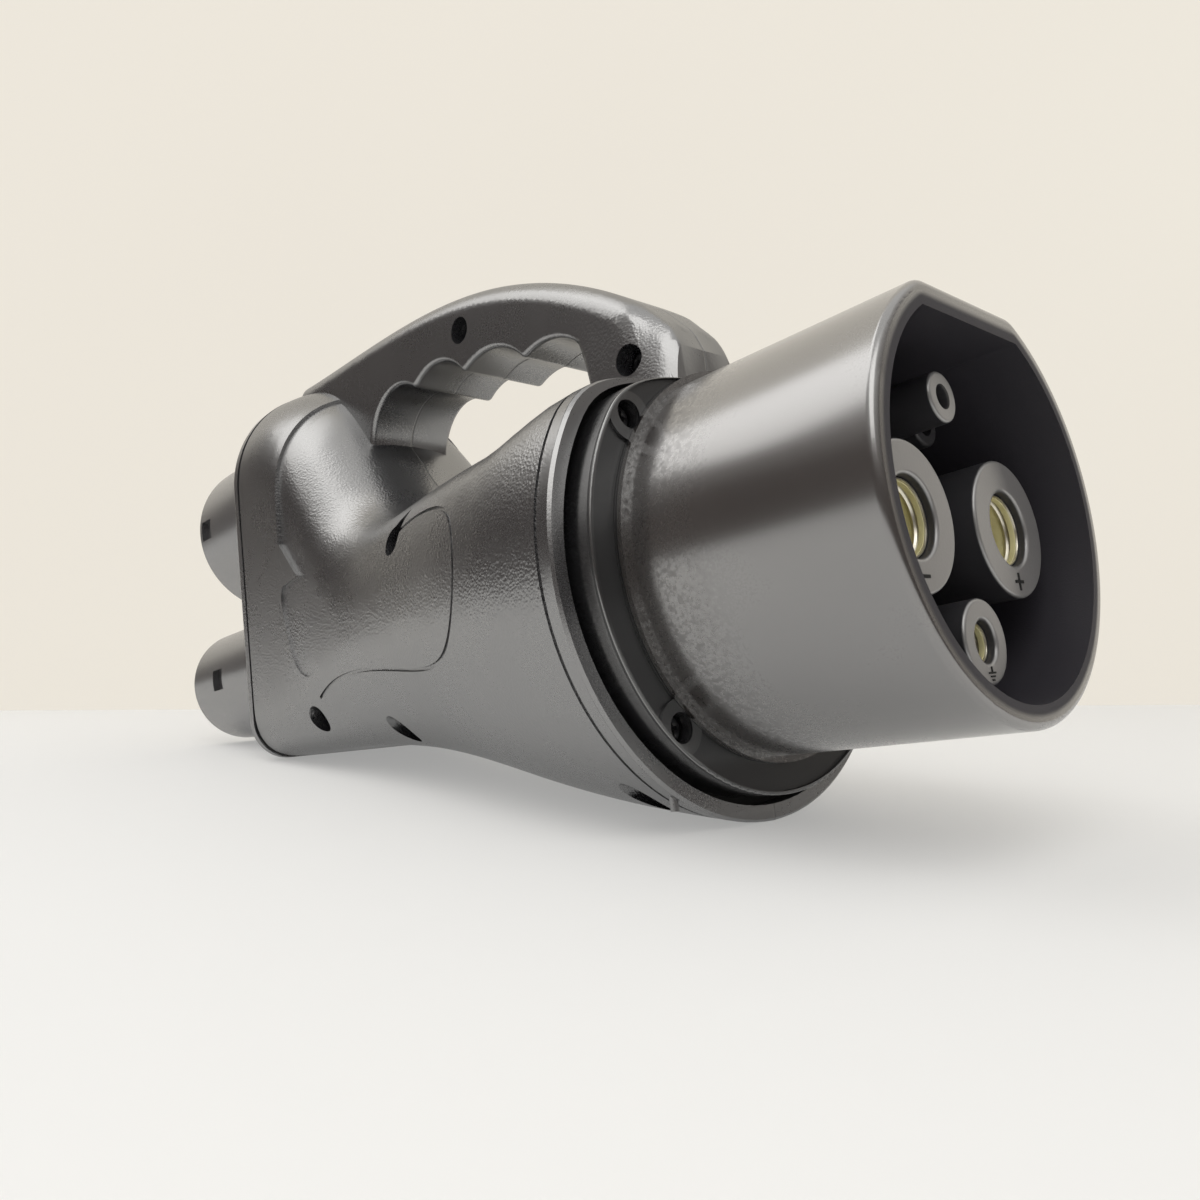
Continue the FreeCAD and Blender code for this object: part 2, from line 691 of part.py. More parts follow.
# Signal sockets of the front, one turned piece in each post
signal = new_body("signal_sockets")
tubes = new_sketch(signal, "Outer", "YZ_Plane", INSULATOR_BACK)
circle(tubes, "0", "Dim.signal_rise", "Dim.signal_socket_radius")
pad(signal, tubes, "Dim.shell_depth + Dim.flange_thick + Dim.insulator_disc_thick"
    " - Dim.sleeve_front - Dim.mouth_lip_depth", "MiddleTube")
tubes = new_sketch(signal, "SideOuter", "YZ_Plane", INSULATOR_BACK)
circle(tubes, "Dim.side_signal_side", "Dim.side_signal_rise", "Dim.signal_socket_radius")
circle(tubes, "-Dim.side_signal_side", "Dim.side_signal_rise", "Dim.signal_socket_radius")
pad(signal, tubes, "Dim.shell_depth + Dim.flange_thick + Dim.insulator_disc_thick"
    " - Dim.side_signal_front - Dim.mouth_lip_depth", "SideTubes")
bores = new_sketch(signal, "Bore", "YZ_Plane", "-(Dim.sleeve_front + Dim.mouth_lip_depth)")
circle(bores, "0", "Dim.signal_rise", "Dim.signal_pin_radius + Dim.pin_clearance")
pocket(signal, bores, "Dim.signal_socket_depth", "MiddleBore")
bores = new_sketch(signal, "SideBore", "YZ_Plane", "-(Dim.side_signal_front + Dim.mouth_lip_depth)")
circle(bores, "Dim.side_signal_side", "Dim.side_signal_rise", "Dim.signal_pin_radius + Dim.pin_clearance")
circle(bores, "-Dim.side_signal_side", "Dim.side_signal_rise", "Dim.signal_pin_radius + Dim.pin_clearance")
pocket(signal, bores, "Dim.signal_socket_depth", "SideBores")
nodes["signal_sockets"] = signal


# Gasket between the flange and the ledge in the mouth
gasket = new_body("front_gasket")
ring = new_sketch(gasket, "Ring", "YZ_Plane", LEDGE_X)
circle(ring, "0", "0", "Dim.flange_radius + Dim.mouth_gap - Dim.seat_clearance")
circle(ring, "0", "0", "Dim.ledge_radius")
flange_screw_circles(ring, "Dim.small_shank_radius + Dim.screw_clearance")
pad(gasket, ring, "Dim.gasket_thick", "Seal")
nodes["front_gasket"] = gasket

# Four flange screws
screws = new_body("flange_screws")
heads = new_sketch(screws, "Heads", "YZ_Plane", "-(Dim.shell_depth + Dim.flange_sink)")
flange_screw_circles(heads, "Dim.small_head_radius")
pad(screws, heads, "Dim.small_head_height", "Heads")
shanks = new_sketch(screws, "Shanks", "YZ_Plane", "-(Dim.shell_depth + Dim.flange_sink)")
flange_screw_circles(shanks, "Dim.small_shank_radius")
pad(screws, shanks, "Dim.flange_thick - Dim.flange_sink + Dim.gasket_thick + Dim.flange_grip_length",
    "Shanks", True)
nodes["flange_screws"] = screws


# Housing: two mirror halves, each a lofted shell with its half of the handle
seam_places = [
    ("-Dim.seam_grip_x", "Dim.seam_grip_z"),
    ("-Dim.seam_toe_x", "Dim.seam_toe_z"),
    ("-Dim.seam_panel_x", "Dim.seam_panel_z"),
    ("-Dim.seam_heel_x", "-Dim.seam_heel_drop"),
    ("-Dim.seam_belly_x", "-Dim.seam_belly_drop"),
    ("-Dim.seam_ring_x", "-Dim.seam_ring_drop"),
]
plate_places = [
    ("Dim.plate_top_screw_side", "Dim.plate_top_screw_z"),
    ("Dim.plate_mid_screw_side", "Dim.plate_mid_screw_z"),
    ("Dim.plate_low_screw_side", "-Dim.plate_low_screw_drop"),
]


def handle_outline(sketch):
    def spot(x_text, z_text):
        return point(-val("Dim." + x_text), val("Dim." + z_text))

    back = -val("Dim.housing_back")
    toe_x = val(LIP_X + " - Dim.toe_setback")
    crown_points = [
        point(back, val("Dim.crown_rear_z")),
        spot("crown_mid_x", "crown_mid_z"),
        spot("crown_bend_x", "crown_bend_z"),
        spot("crown_fall_x", "crown_fall_z"),
        point(toe_x, val("Dim.crown_toe_z")),
    ]
    crown = Part.BSplineCurve()
    crown.interpolate(crown_points)
    low_rear = val("Dim.saddle_top - Dim.handle_root_depth")
    low_front = val("Dim.collar_top - Dim.handle_toe_depth")
    toe = spot("grip_toe_x", "grip_toe_z")
    heel = spot("grip_heel_x", "grip_heel_z")
    grips = [heel]
    for number in ("one", "two", "three"):
        grips.append(spot("scallop_%s_x" % number, "scallop_%s_z" % number))
        grips.append(spot("cusp_%s_x" % number, "cusp_%s_z" % number))
    grips.append(spot("scallop_four_x", "scallop_four_z"))
    grips.append(toe)
    shapes = [crown, Part.LineSegment(crown_points[-1], point(toe_x, low_front)),
              Part.LineSegment(point(toe_x, low_front), point(toe.x, low_front)),
              Part.LineSegment(point(toe.x, low_front), toe)]
    for number in range(len(grips) - 1, 0, -2):
        shapes.append(Part.Arc(grips[number], grips[number - 1], grips[number - 2]))
    shapes.append(Part.LineSegment(heel, point(heel.x, low_rear)))
    shapes.append(Part.LineSegment(point(heel.x, low_rear), point(back, low_rear)))
    shapes.append(Part.LineSegment(point(back, low_rear), crown_points[0]))
    for shape in shapes:
        sketch.addGeometry(shape, False)


all_stations = ["ring"] + stations + ["rear"]


def station_values(name, inset):
    # the sections stand at even steps from the lip of the mouth to the back
    number = all_stations.index(name)
    place = "%s - (Dim.housing_back + %s) * %d / %d" % (LIP_X, LIP_X, number, len(all_stations) - 1)
    if name == "ring":
        values = ["Dim.ring_radius"] * 3 + ["Dim.ring_round"] * 2
    else:
        values = ["Dim.%s_%s" % (name, word) for word in ("half", "top", "drop", "top_round", "low_round")]
    if inset:
        depth = inset.get(name, "-Dim.step_fade") if isinstance(inset, dict) else inset
        values = ["%s - (%s)" % (value, depth) for value in values]
    return place, values


def section_points(half, top, drop, upper, lower, count):
    # half of a rounded section, from the crown round the flank to the belly,
    # as points at even steps along the outline
    quarter = math.pi / 2
    parts = [half - upper, upper * quarter, top + drop - upper - lower, lower * quarter, half - lower]
    total = sum(parts)
    points = []
    for number in range(count + 1):
        run = total * number / count
        if run <= parts[0]:
            spot = (run, top)
        elif run <= sum(parts[:2]):
            turn = (run - parts[0]) / upper
            spot = (half - upper + upper * math.sin(turn), top - upper + upper * math.cos(turn))
        elif run <= sum(parts[:3]):
            spot = (half, top - upper - (run - sum(parts[:2])))
        elif run <= sum(parts[:4]):
            turn = (run - sum(parts[:3])) / lower
            spot = (half - lower + lower * math.cos(turn), lower - drop - lower * math.sin(turn))
        else:
            spot = (total - run, -drop)
        points.append(spot)
    return points


def smooth_surface(rows):
    # cubic surface that follows a net of points and never swings past it
    spans = [len(rows) - 3, len(rows[0]) - 3]
    knots = [list(range(count + 1)) for count in spans]
    counts = [[4] + [1] * (count - 1) + [4] for count in spans]
    surface = Part.BSplineSurface()
    surface.buildFromPolesMultsKnots(rows, counts[0], counts[1], knots[0], knots[1], False, False, 3, 3)
    return surface


def skin(name, side, inset):
    # closed solid inside one half of the housing's outer form, or inside its wall
    sign = 1 if side == "left" else -1
    rows = []
    for station in all_stations:
        place, values = station_values(station, inset)
        x_value = val(place)
        outline = section_points(*[val(value) for value in values], SKIN_STEPS)
        rows.append([FreeCAD.Vector(x_value, sign * across, up) for across, up in outline])
    side_face = smooth_surface(rows).toShape()
    along = {}
    for edge in side_face.Edges:
        middle = edge.valueAt((edge.FirstParameter + edge.LastParameter) / 2)
        if edge.BoundBox.XLength > 1:
            along["crown" if middle.z > 0 else "belly"] = edge
        else:
            along["front" if middle.x > rows[1][0].x else "back"] = edge
    front_line = Part.makeLine(rows[0][0], rows[0][-1])
    back_line = Part.makeLine(rows[-1][0], rows[-1][-1])
    faces = [side_face]
    for edges in ([along["front"], front_line], [along["back"], back_line],
                  [along["crown"], back_line, along["belly"], front_line]):
        faces.append(Part.Face(Part.Wire(Part.__sortEdges__(edges))))
    shell = Part.makeShell(faces)
    shell.sewShape()
    solid = Part.makeSolid(shell)
    if solid.Volume < 0:
        solid.reverse()
    feature = doc.addObject("Part::Feature", name)
    feature.Shape = solid
    return feature


def curve_through(spots):
    curve = Part.BSplineCurve()
    curve.interpolate(spots)
    return curve


def panel_groove(sketch):
    # open groove round the side panel, from the pocket of its screw to the heel
    def spot(x_text, z_value):
        return FreeCAD.Vector(-val("Dim." + x_text), z_value, 0)

    top = val("Dim.panel_top_z")
    bend = (val("Dim.panel_corner_x") - val("Dim.panel_front_x")) / 3
    middle = curve_through([
        spot("panel_start_x", top),
        spot("panel_corner_x", top),
        spot("panel_front_x", top - 2 * bend) + FreeCAD.Vector(-bend, bend, 0),
        spot("panel_front_x", val("Dim.panel_front_z")),
        spot("panel_corner_x", -val("Dim.panel_low_drop") + bend / 2),
        spot("panel_low_x", -val("Dim.panel_low_drop")),
        spot("panel_rise_x", -val("Dim.panel_rise_drop")),
        spot("panel_end_x", -val("Dim.panel_end_drop")),
    ])
    sides = [[], []]
    for number in range(PANEL_STEPS + 1):
        place = middle.FirstParameter + (middle.LastParameter - middle.FirstParameter) * number / PANEL_STEPS
        along = middle.tangent(place)[0]
        across = FreeCAD.Vector(-along.y, along.x, 0) * (val("Dim.panel_groove") / 2)
        sides[0].append(middle.value(place) + across)
        sides[1].append(middle.value(place) - across)
    sketch.addGeometry(curve_through(sides[0]), False)
    sketch.addGeometry(curve_through(sides[1]), False)
    for number in (0, -1):
        sketch.addGeometry(Part.LineSegment(sides[0][number], sides[1][number]), False)


def label_outline(sketch):
    # rounded patch, straighter towards the back band
    front, back = -val("Dim.label_front_x"), -val("Dim.label_back_x")
    top, low = val("Dim.label_top_z"), -val("Dim.label_drop")
    long, tall = front - back, top - low
    shares = [(0.02, 0.98), (0.34, 1.00), (0.68, 0.94), (0.94, 0.73), (1.00, 0.45), (0.87, 0.19),
              (0.60, 0.02), (0.32, 0.01), (0.13, 0.17), (0.01, 0.49)]
    curve = Part.BSplineCurve()
    curve.interpolate([FreeCAD.Vector(back + long * u, low + tall * w, 0) for u, w in shares],
                      PeriodicFlag=True)
    sketch.addGeometry(curve, False)


def leaf_outline(sketch):
    reach = val("Dim.leaf_reach")
    middle = FreeCAD.Vector(-val("Dim.seam_panel_x"), val("Dim.seam_panel_z"), 0)
    curve = Part.BSplineCurve()
    curve.interpolate([middle + FreeCAD.Vector(reach * u, reach * w, 0) for u, w in LEAF], PeriodicFlag=True)
    sketch.addGeometry(curve, False)


def cut(name, base, tool):
    feature = doc.addObject("Part::Cut", name)
    feature.Base = base
    feature.Tool = tool
    return feature


def fuse(name, base, tool):
    feature = doc.addObject("Part::Fuse", name)
    feature.Base = base
    feature.Tool = tool
    return feature


def marked_skin(side):
    # outer form of one half with its sunk shoulder, panel groove, rim groove and label patch
    on_right = side == "right"
    depths = {"root": "Dim.step_depth * Dim.step_part", "shoulder": "Dim.step_depth",
              "block": "Dim.step_depth", "rear": "Dim.step_depth"}
    shoulder = new_body(side + "_shoulder")
    outline = new_sketch(shoulder, "Outline", "XZ_Plane")
    chain(outline, [
        ("-Dim.step_back_x", "2 * Dim.ring_radius"),
        ("-Dim.step_back_x", "Dim.step_turn_z"),
        ("-Dim.step_low_x", "Dim.step_low_z"),
        ("-Dim.step_front_x", "Dim.step_low_z"),
        ("-Dim.step_front_x", "2 * Dim.ring_radius"),
    ])
    pad(shoulder, outline, "Dim.beyond", "Region", not on_right)
    fillet(shoulder, "Dim.step_turn_round", "Turn",
           lambda edge: edge.BoundBox.YLength > val("Dim.beyond") - 1
           and edge.BoundBox.ZMax < val("Dim.step_low_z") + 0.1
           and edge.BoundBox.XMax < -val("Dim.step_front_x") - 1)
    layer = cut(side + "_shoulder_layer", shoulder, skin(side + "_shoulder_floor", side, depths))
    stepped = cut(side + "_stepped", skin(side + "_skin", side, ""), layer)

    marks = new_body(side + "_marks")
    groove = new_sketch(marks, "PanelGroove", "XZ_Plane")
    panel_groove(groove)
    pad(marks, groove, "Dim.beyond", "PanelGroovePad", not on_right)
    if on_right:
        label = new_sketch(marks, "LabelOutline", "XZ_Plane")
        label_outline(label)
        pad(marks, label, "Dim.beyond", "LabelPatch")
    thin = cut(side + "_mark_layer", marks, skin(side + "_mark_floor", side, "Dim.mark_depth"))
    marked = cut(side + "_marked", stepped, thin)

    if on_right:
        leaf = new_body("right_leaf")
        outline = new_sketch(leaf, "Outline", "XZ_Plane")
        leaf_outline(outline)
        pad(leaf, outline, "Dim.beyond", "Leaf")
        deep = cut("right_leaf_layer", leaf, skin("right_leaf_floor", side, "Dim.leaf_depth"))
        marked = cut("right_pocketed", marked, deep)

    rims = new_body(side + "_rims")
    ring = new_sketch(rims, "RimGroove", "XZ_Plane")
    back = LIP_X + " - Dim.rim_width - Dim.rim_groove_width"
    rectangle(ring, back, LIP_X + " - Dim.rim_width", "Dim.rim_groove_radius", "Dim.beyond")
    chain(ring, [
        (LIP_X + " + 1", "Dim.ring_radius - Dim.lip_round - 1"),
        (LIP_X + " + 1", "Dim.beyond"),
        (LIP_X + " - Dim.lip_round", "Dim.beyond"),
        (LIP_X + " - Dim.lip_round", "Dim.ring_radius"),
        (LIP_X, "Dim.ring_radius - Dim.lip_round"),
        (LIP_X, "Dim.ring_radius - Dim.lip_round - 1"),
    ])
    revolve(rims, ring, "Turning")
    return cut(side + "_rimmed", marked, rims)


def housing_half(side):
    on_right = side == "right"
    sign = "-" if on_right else ""
    grip = new_body(side + "_handle")
    outline = new_sketch(grip, "HandleOutline", "XZ_Plane")
    handle_outline(outline)
    pad(grip, outline, "Dim.handle_half", "HandlePad", not on_right)
    face_y = -val("Dim.handle_half") if on_right else val("Dim.handle_half")

    def cusp(edge):
        box = edge.BoundBox
        if box.YLength < val("Dim.handle_half") - 0.1 or box.XLength > 0.01:
            return False
        for number in ("one", "two", "three"):
            near_x = abs(box.XMin + val("Dim.cusp_%s_x" % number)) < 0.05
            if near_x and abs(box.ZMin - val("Dim.cusp_%s_z" % number)) < 0.05:
                return True
        return False

    def face_edge(edge):
        box = edge.BoundBox
        return abs(box.YMin - face_y) < 0.01 and abs(box.YMax - face_y) < 0.01

    def crown_edge(edge):
        return face_edge(edge) and edge.BoundBox.XLength > 100 and edge.BoundBox.ZLength > 20

    def grip_edge(edge):
        box = edge.BoundBox
        inside = box.XMin > -val("Dim.grip_heel_x") - 0.1 and box.XMax < -val("Dim.grip_toe_x") + 0.1
        return face_edge(edge) and inside and box.ZMin > val("Dim.grip_toe_z") - 0.1

    fillet(grip, "Dim.cusp_round", "CuspRounds", cusp)
    fillet(grip, "Dim.crown_round", "CrownRound", crown_edge)
    fillet(grip, "Dim.grip_round", "GripRound", grip_edge)

    form = fuse(side + "_form", marked_skin(side), grip)
    if on_right:
        # small moulded nub under the ring
        nub = new_body("right_nub")
        outline = new_sketch(nub, "Outline", "XY_Plane", "-Dim.nub_tip")
        circle(outline, LIP_X + " - Dim.nub_setback", "-Dim.nub_side", "Dim.nub_radius")
        pad(nub, outline, "Dim.nub_tip - Dim.nub_top", "Nub")
        form = fuse("right_form_with_nub", form, nub)

    # everything that is cut from the solid form
    cuts = new_body(side + "_cuts")
    mouth = new_sketch(cuts, "Mouth", "YZ_Plane", LEDGE_X)
    circle(mouth, "0", "0", "Dim.flange_radius + Dim.mouth_gap")
    pad(cuts, mouth, "Dim.flange_thick + Dim.gasket_thick + 5", "MouthBore")
    throat = new_sketch(cuts, "Throat", "YZ_Plane", LEDGE_X + " - Dim.ledge_thick")
    circle(throat, "0", "0", "Dim.ledge_radius")
    pad(cuts, throat, "Dim.ledge_thick + 1", "ThroatBore")
    taps = new_sketch(cuts, "FlangeTaps", "YZ_Plane", LEDGE_X)
    circle(taps, sign + "Dim.upper_screw_side", "Dim.upper_screw_rise", "Dim.small_shank_radius")
    circle(taps, sign + "Dim.lower_screw_side", "-Dim.lower_screw_drop", "Dim.small_shank_radius")
    pad(cuts, taps, "Dim.flange_grip_length + Dim.seat_clearance", "FlangeTapHoles", True)
    taps = new_sketch(cuts, "PlateTaps", "YZ_Plane", "-Dim.housing_back - 1")
    for across, up in plate_places:
        circle(taps, sign + across, up, "Dim.small_shank_radius")
    pad(cuts, taps, "Dim.plate_boss_length - 1", "PlateTapHoles")
    if on_right:
        seats = new_sketch(cuts, "SeamSinks", "XZ_Plane", "Dim.seam_screw_seat")
        for along, up in seam_places:
            circle(seats, along, up, "Dim.seam_head_radius + Dim.screw_clearance")
        pad(cuts, seats, "Dim.beyond", "SeamSinkHoles")
        holes = new_sketch(cuts, "SeamHoles", "XZ_Plane", "-1")
        for along, up in seam_places:
            circle(holes, along, up, "Dim.seam_shank_radius + Dim.screw_clearance")
        pad(cuts, holes, "Dim.seam_screw_seat + 2", "SeamShankHoles")
    else:
        holes = new_sketch(cuts, "SeamHoles", "XZ_Plane", "1")
        for along, up in seam_places:
            circle(holes, along, up, "Dim.seam_shank_radius")
        pad(cuts, holes, "Dim.seam_grip_length + Dim.seat_clearance + 1", "SeamShankHoles", True)

    # what stays of the hollow's inside: bosses for the screws and the solid mouth
    bosses = new_body(side + "_bosses")
    front = new_sketch(bosses, "FrontLimit", "YZ_Plane", LEDGE_X + " - Dim.ledge_thick")
    circle(front, "0", "0", "2 * Dim.ring_radius")
    pad(bosses, front, "Dim.beyond", "FrontLimitPad")
    columns = new_sketch(bosses, "SeamColumns", "XZ_Plane", "0")
    for along, up in seam_places[2:5]:
        circle(columns, along, up, "Dim.seam_boss_radius")
    pad(bosses, columns, "Dim.beyond", "SeamColumnPads", not on_right)
    columns = new_sketch(bosses, "PlateColumns", "YZ_Plane", "-Dim.housing_back - 1")
    for across, up in plate_places:
        circle(columns, sign + across, up, "Dim.small_boss_radius")
    pad(bosses, columns, "Dim.plate_boss_length + 1", "PlateColumnPads")
    hollow = cut(side + "_hollow", skin(side + "_inner_skin", side, "Dim.housing_wall"), bosses)
    half = cut(side + "_half", cut(side + "_walled", form, hollow), cuts)
    half.Label = side + "_housing"
    doc.recompute()
    return half


nodes["right_housing"] = housing_half("right")
nodes["left_housing"] = housing_half("left")

# Seam screws, heads deep in their sinks
seam = new_body("housing_screws")
heads = new_sketch(seam, "Heads", "XZ_Plane", "Dim.seam_screw_seat")
for along, up in seam_places:
    circle(heads, along, up, "Dim.seam_head_radius")
pad(seam, heads, "Dim.seam_head_height", "HeadPads")
shanks = new_sketch(seam, "Shanks", "XZ_Plane", "Dim.seam_screw_seat")
for along, up in seam_places:
    circle(shanks, along, up, "Dim.seam_shank_radius")
pad(seam, shanks, "Dim.seam_screw_seat + Dim.seam_grip_length", "ShankPads", True)
nodes["housing_screws"] = seam


# Rear gasket and plate, both following the back section of the housing
def rear_section(sketch, inset):
    place, values = station_values("rear", inset)
    full_outline(sketch, *values)


def plate_screw_circles(sketch, radius):
    for across, up in plate_places:
        circle(sketch, across, up, radius)
        circle(sketch, "-" + across, up, radius)


seal = new_body("rear_gasket")
ring = new_sketch(seal, "Ring", "YZ_Plane", PLATE_FRONT)
rear_section(ring, "Dim.rear_gasket_inset")
rear_section(ring, "(Dim.rear_gasket_inset + Dim.rear_gasket_width)")
pad(seal, ring, "Dim.rear_gasket_thick", "Seal")
nodes["rear_gasket"] = seal

plate = new_body("rear_plate")
outline = new_sketch(plate, "Outline", "YZ_Plane", PLATE_BACK)
rear_section(outline, "")
pad(plate, outline, "Dim.plate_thick", "Plate")
fillet(plate, "Dim.plate_round", "PlateEdge", lambda edge: at_x(edge, val(PLATE_BACK)))
openings = new_sketch(plate, "BarrelOpenings", "YZ_Plane", PLATE_FRONT)
circle(openings, "0", "Dim.upper_barrel_rise",
       "Dim.upper_barrel_radius - Dim.spigot_step + Dim.seat_clearance")
obround(openings, "Dim.rear_dc_side", "Dim.lower_barrel_rise",
        "Dim.lower_barrel_radius - Dim.spigot_step + Dim.seat_clearance")
pocket(plate, openings, "Dim.plate_thick + 1", "Openings")
sinks = new_sketch(plate, "Sinks", "YZ_Plane", PLATE_BACK)
plate_screw_circles(sinks, "Dim.small_shank_radius + Dim.screw_clearance")
pocket(plate, sinks, "Dim.plate_thick + 1", "ScrewHoles", True)
nodes["rear_plate"] = plate

plate_screws = new_body("plate_screws")
heads = new_sketch(plate_screws, "Heads", "YZ_Plane", PLATE_BACK)
plate_screw_circles(heads, "Dim.small_head_radius")
pad(plate_screws, heads, "Dim.small_head_height", "HeadPads", True)
shanks = new_sketch(plate_screws, "Shanks", "YZ_Plane", PLATE_BACK)
plate_screw_circles(shanks, "Dim.small_shank_radius")
pad(plate_screws, shanks, "Dim.plate_thick + Dim.rear_gasket_thick + Dim.plate_boss_length"
    " - Dim.plate_screw_spare", "ShankPads")
nodes["plate_screws"] = plate_screws


# Upper barrel with seven round holes; lower barrel with the two DC holes
def window(body, along, up, face, name):
    for side in ("right", "left"):
        offset = face if side == "right" else "-(" + face + ")"
        opening = new_sketch(body, name + "_" + side, "XZ_Plane", offset)
        rectangle(opening, along + " - Dim.window_long / 2", along + " + Dim.window_long / 2",
                  up + " - Dim.window_high / 2", up + " + Dim.window_high / 2")
        pocket(body, opening, "Dim.window_depth", name + "Cut_" + side, side == "left")


upper = new_body("upper_barrel")
outline = new_sketch(upper, "Outline", "YZ_Plane", TIP_X)
circle(outline, "0", "Dim.upper_barrel_rise", "Dim.upper_barrel_radius")
pad(upper, outline, "Dim.barrel_length", "Barrel")
fillet(upper, "Dim.barrel_edge_round", "TipRound", lambda edge: at_x(edge, val(TIP_X)))
spigot = new_sketch(upper, "Spigot", "YZ_Plane", PLATE_BACK)
circle(spigot, "0", "Dim.upper_barrel_rise", "Dim.upper_barrel_radius - Dim.spigot_step")
pad(upper, spigot, "Dim.spigot_length", "SpigotPad")
mouths = new_sketch(upper, "Mouths", "YZ_Plane", TIP_X)
circle(mouths, "0", "Dim.upper_barrel_rise", "Dim.rear_earth_mouth_radius")
circle(mouths, "Dim.rear_signal_side", "Dim.upper_barrel_rise + Dim.rear_signal_rise",
       "Dim.rear_signal_mouth_radius")
circle(mouths, "-Dim.rear_signal_side", "Dim.upper_barrel_rise + Dim.rear_signal_rise",
       "Dim.rear_signal_mouth_radius")
pocket(upper, mouths, "Dim.mouth_lip_depth + 1", "MouthBores", True)
seats = new_sketch(upper, "Seats", "YZ_Plane", TIP_X + " + Dim.mouth_lip_depth")
circle(seats, "0", "Dim.upper_barrel_rise", "Dim.earth_socket_radius + Dim.socket_gap")
circle(seats, "Dim.rear_signal_side", "Dim.upper_barrel_rise + Dim.rear_signal_rise",
       "Dim.signal_socket_radius + Dim.socket_gap")
circle(seats, "-Dim.rear_signal_side", "Dim.upper_barrel_rise + Dim.rear_signal_rise",
       "Dim.signal_socket_radius + Dim.socket_gap")
pocket(upper, seats, "Dim.barrel_length + Dim.spigot_length", "SocketSeats", True)
spare = new_sketch(upper, "SpareHoles", "YZ_Plane", TIP_X)
for side in ("", "-"):
    circle(spare, side + "Dim.spare_side", "Dim.upper_barrel_rise", "Dim.spare_radius")
    circle(spare, side + "Dim.spare_low_side", "Dim.upper_barrel_rise - Dim.spare_low_drop",
           "Dim.spare_radius")
pocket(upper, spare, "Dim.spare_depth", "SpareHoleCuts", True)
window(upper, TIP_X + " + Dim.upper_window_back", "Dim.upper_barrel_rise",
       "Dim.upper_barrel_radius", "Window")
nodes["upper_barrel"] = upper

lower = new_body("lower_barrel")
outline = new_sketch(lower, "Outline", "YZ_Plane", TIP_X)
obround(outline, "Dim.rear_dc_side", "Dim.lower_barrel_rise", "Dim.lower_barrel_radius")
pad(lower, outline, "Dim.barrel_length", "Barrel")
fillet(lower, "Dim.barrel_edge_round", "TipRound", lambda edge: at_x(edge, val(TIP_X)))
spigot = new_sketch(lower, "Spigot", "YZ_Plane", PLATE_BACK)
obround(spigot, "Dim.rear_dc_side", "Dim.lower_barrel_rise", "Dim.lower_barrel_radius - Dim.spigot_step")
pad(lower, spigot, "Dim.spigot_length", "SpigotPad")
mouths = new_sketch(lower, "Mouths", "YZ_Plane", TIP_X)
seats = new_sketch(lower, "Seats", "YZ_Plane", TIP_X + " + Dim.mouth_lip_depth")
for side in ("", "-"):
    circle(mouths, side + "Dim.rear_dc_side", "Dim.lower_barrel_rise", "Dim.rear_dc_mouth_radius")
    circle(seats, side + "Dim.rear_dc_side", "Dim.lower_barrel_rise",
           "Dim.rear_dc_socket_radius + Dim.socket_gap")
pocket(lower, mouths, "Dim.mouth_lip_depth + 1", "MouthBores", True)
pocket(lower, seats, "Dim.barrel_length + Dim.spigot_length", "SocketSeats", True)
window(lower, TIP_X + " + Dim.lower_window_back", "Dim.lower_barrel_rise",
       "Dim.rear_dc_side + Dim.lower_barrel_radius", "Window")
nodes["lower_barrel"] = lower

# Rear contact sockets, drawn facing +X and turned round when placed
REAR_SOCKET_LENGTH = ("Dim.barrel_length + Dim.spigot_length - Dim.mouth_lip_depth"
                      " - Dim.socket_gap + Dim.tail_length")
for sign in ("plus", "minus"):
    nodes["rear_dc_%s_socket" % sign] = socket(
        "rear_dc_%s_socket" % sign, "Dim.rear_dc_pin_radius + Dim.pin_clearance",
        "Dim.rear_dc_socket_radius", "Dim.rear_socket_depth", REAR_SOCKET_LENGTH)
nodes["rear_earth_socket"] = socket(
    "rear_earth_socket", "Dim.earth_pin_radius + Dim.pin_clearance", "Dim.earth_socket_radius",
    "Dim.rear_socket_depth", REAR_SOCKET_LENGTH)

pilots = new_body("rear_signal_sockets")
tubes = new_sketch(pilots, "Outer", "YZ_Plane", TIP_X + " + Dim.mouth_lip_depth")
bores = new_sketch(pilots, "Bores", "YZ_Plane", TIP_X + " + Dim.mouth_lip_depth")
for side in ("", "-"):
    circle(tubes, side + "Dim.rear_signal_side", "Dim.upper_barrel_rise + Dim.rear_signal_rise",
           "Dim.signal_socket_radius")
    circle(bores, side + "Dim.rear_signal_side", "Dim.upper_barrel_rise + Dim.rear_signal_rise",
           "Dim.signal_pin_radius + Dim.pin_clearance")
pad(pilots, tubes, "Dim.barrel_length + Dim.spigot_length - Dim.mouth_lip_depth", "Tubes")
pocket(pilots, bores, "Dim.signal_socket_depth", "PinBores", True)
nodes["rear_signal_sockets"] = pilots


# Copper busbars from the front socket tails to the rear ones
def busbar(name, sign):
    body = new_body(name)
    front = FRONT_SOCKET_X + " - (" + FRONT_SOCKET_LENGTH + ")"
    back = SPIGOT_END + " + Dim.tail_length"
    section = new_sketch(body, "Section", "YZ_Plane", back)
    middle = sign + "Dim.busbar_side"
    rectangle(section, middle + " - Dim.busbar_thick / 2", middle + " + Dim.busbar_thick / 2",
              "Dim.busbar_rise - Dim.busbar_height / 2", "Dim.busbar_rise + Dim.busbar_height / 2")
    pad(body, section, front + " - (" + back + ")", "Bar")
    return body


nodes["busbar_plus"] = busbar("busbar_plus", "")
nodes["busbar_minus"] = busbar("busbar_minus", "-")

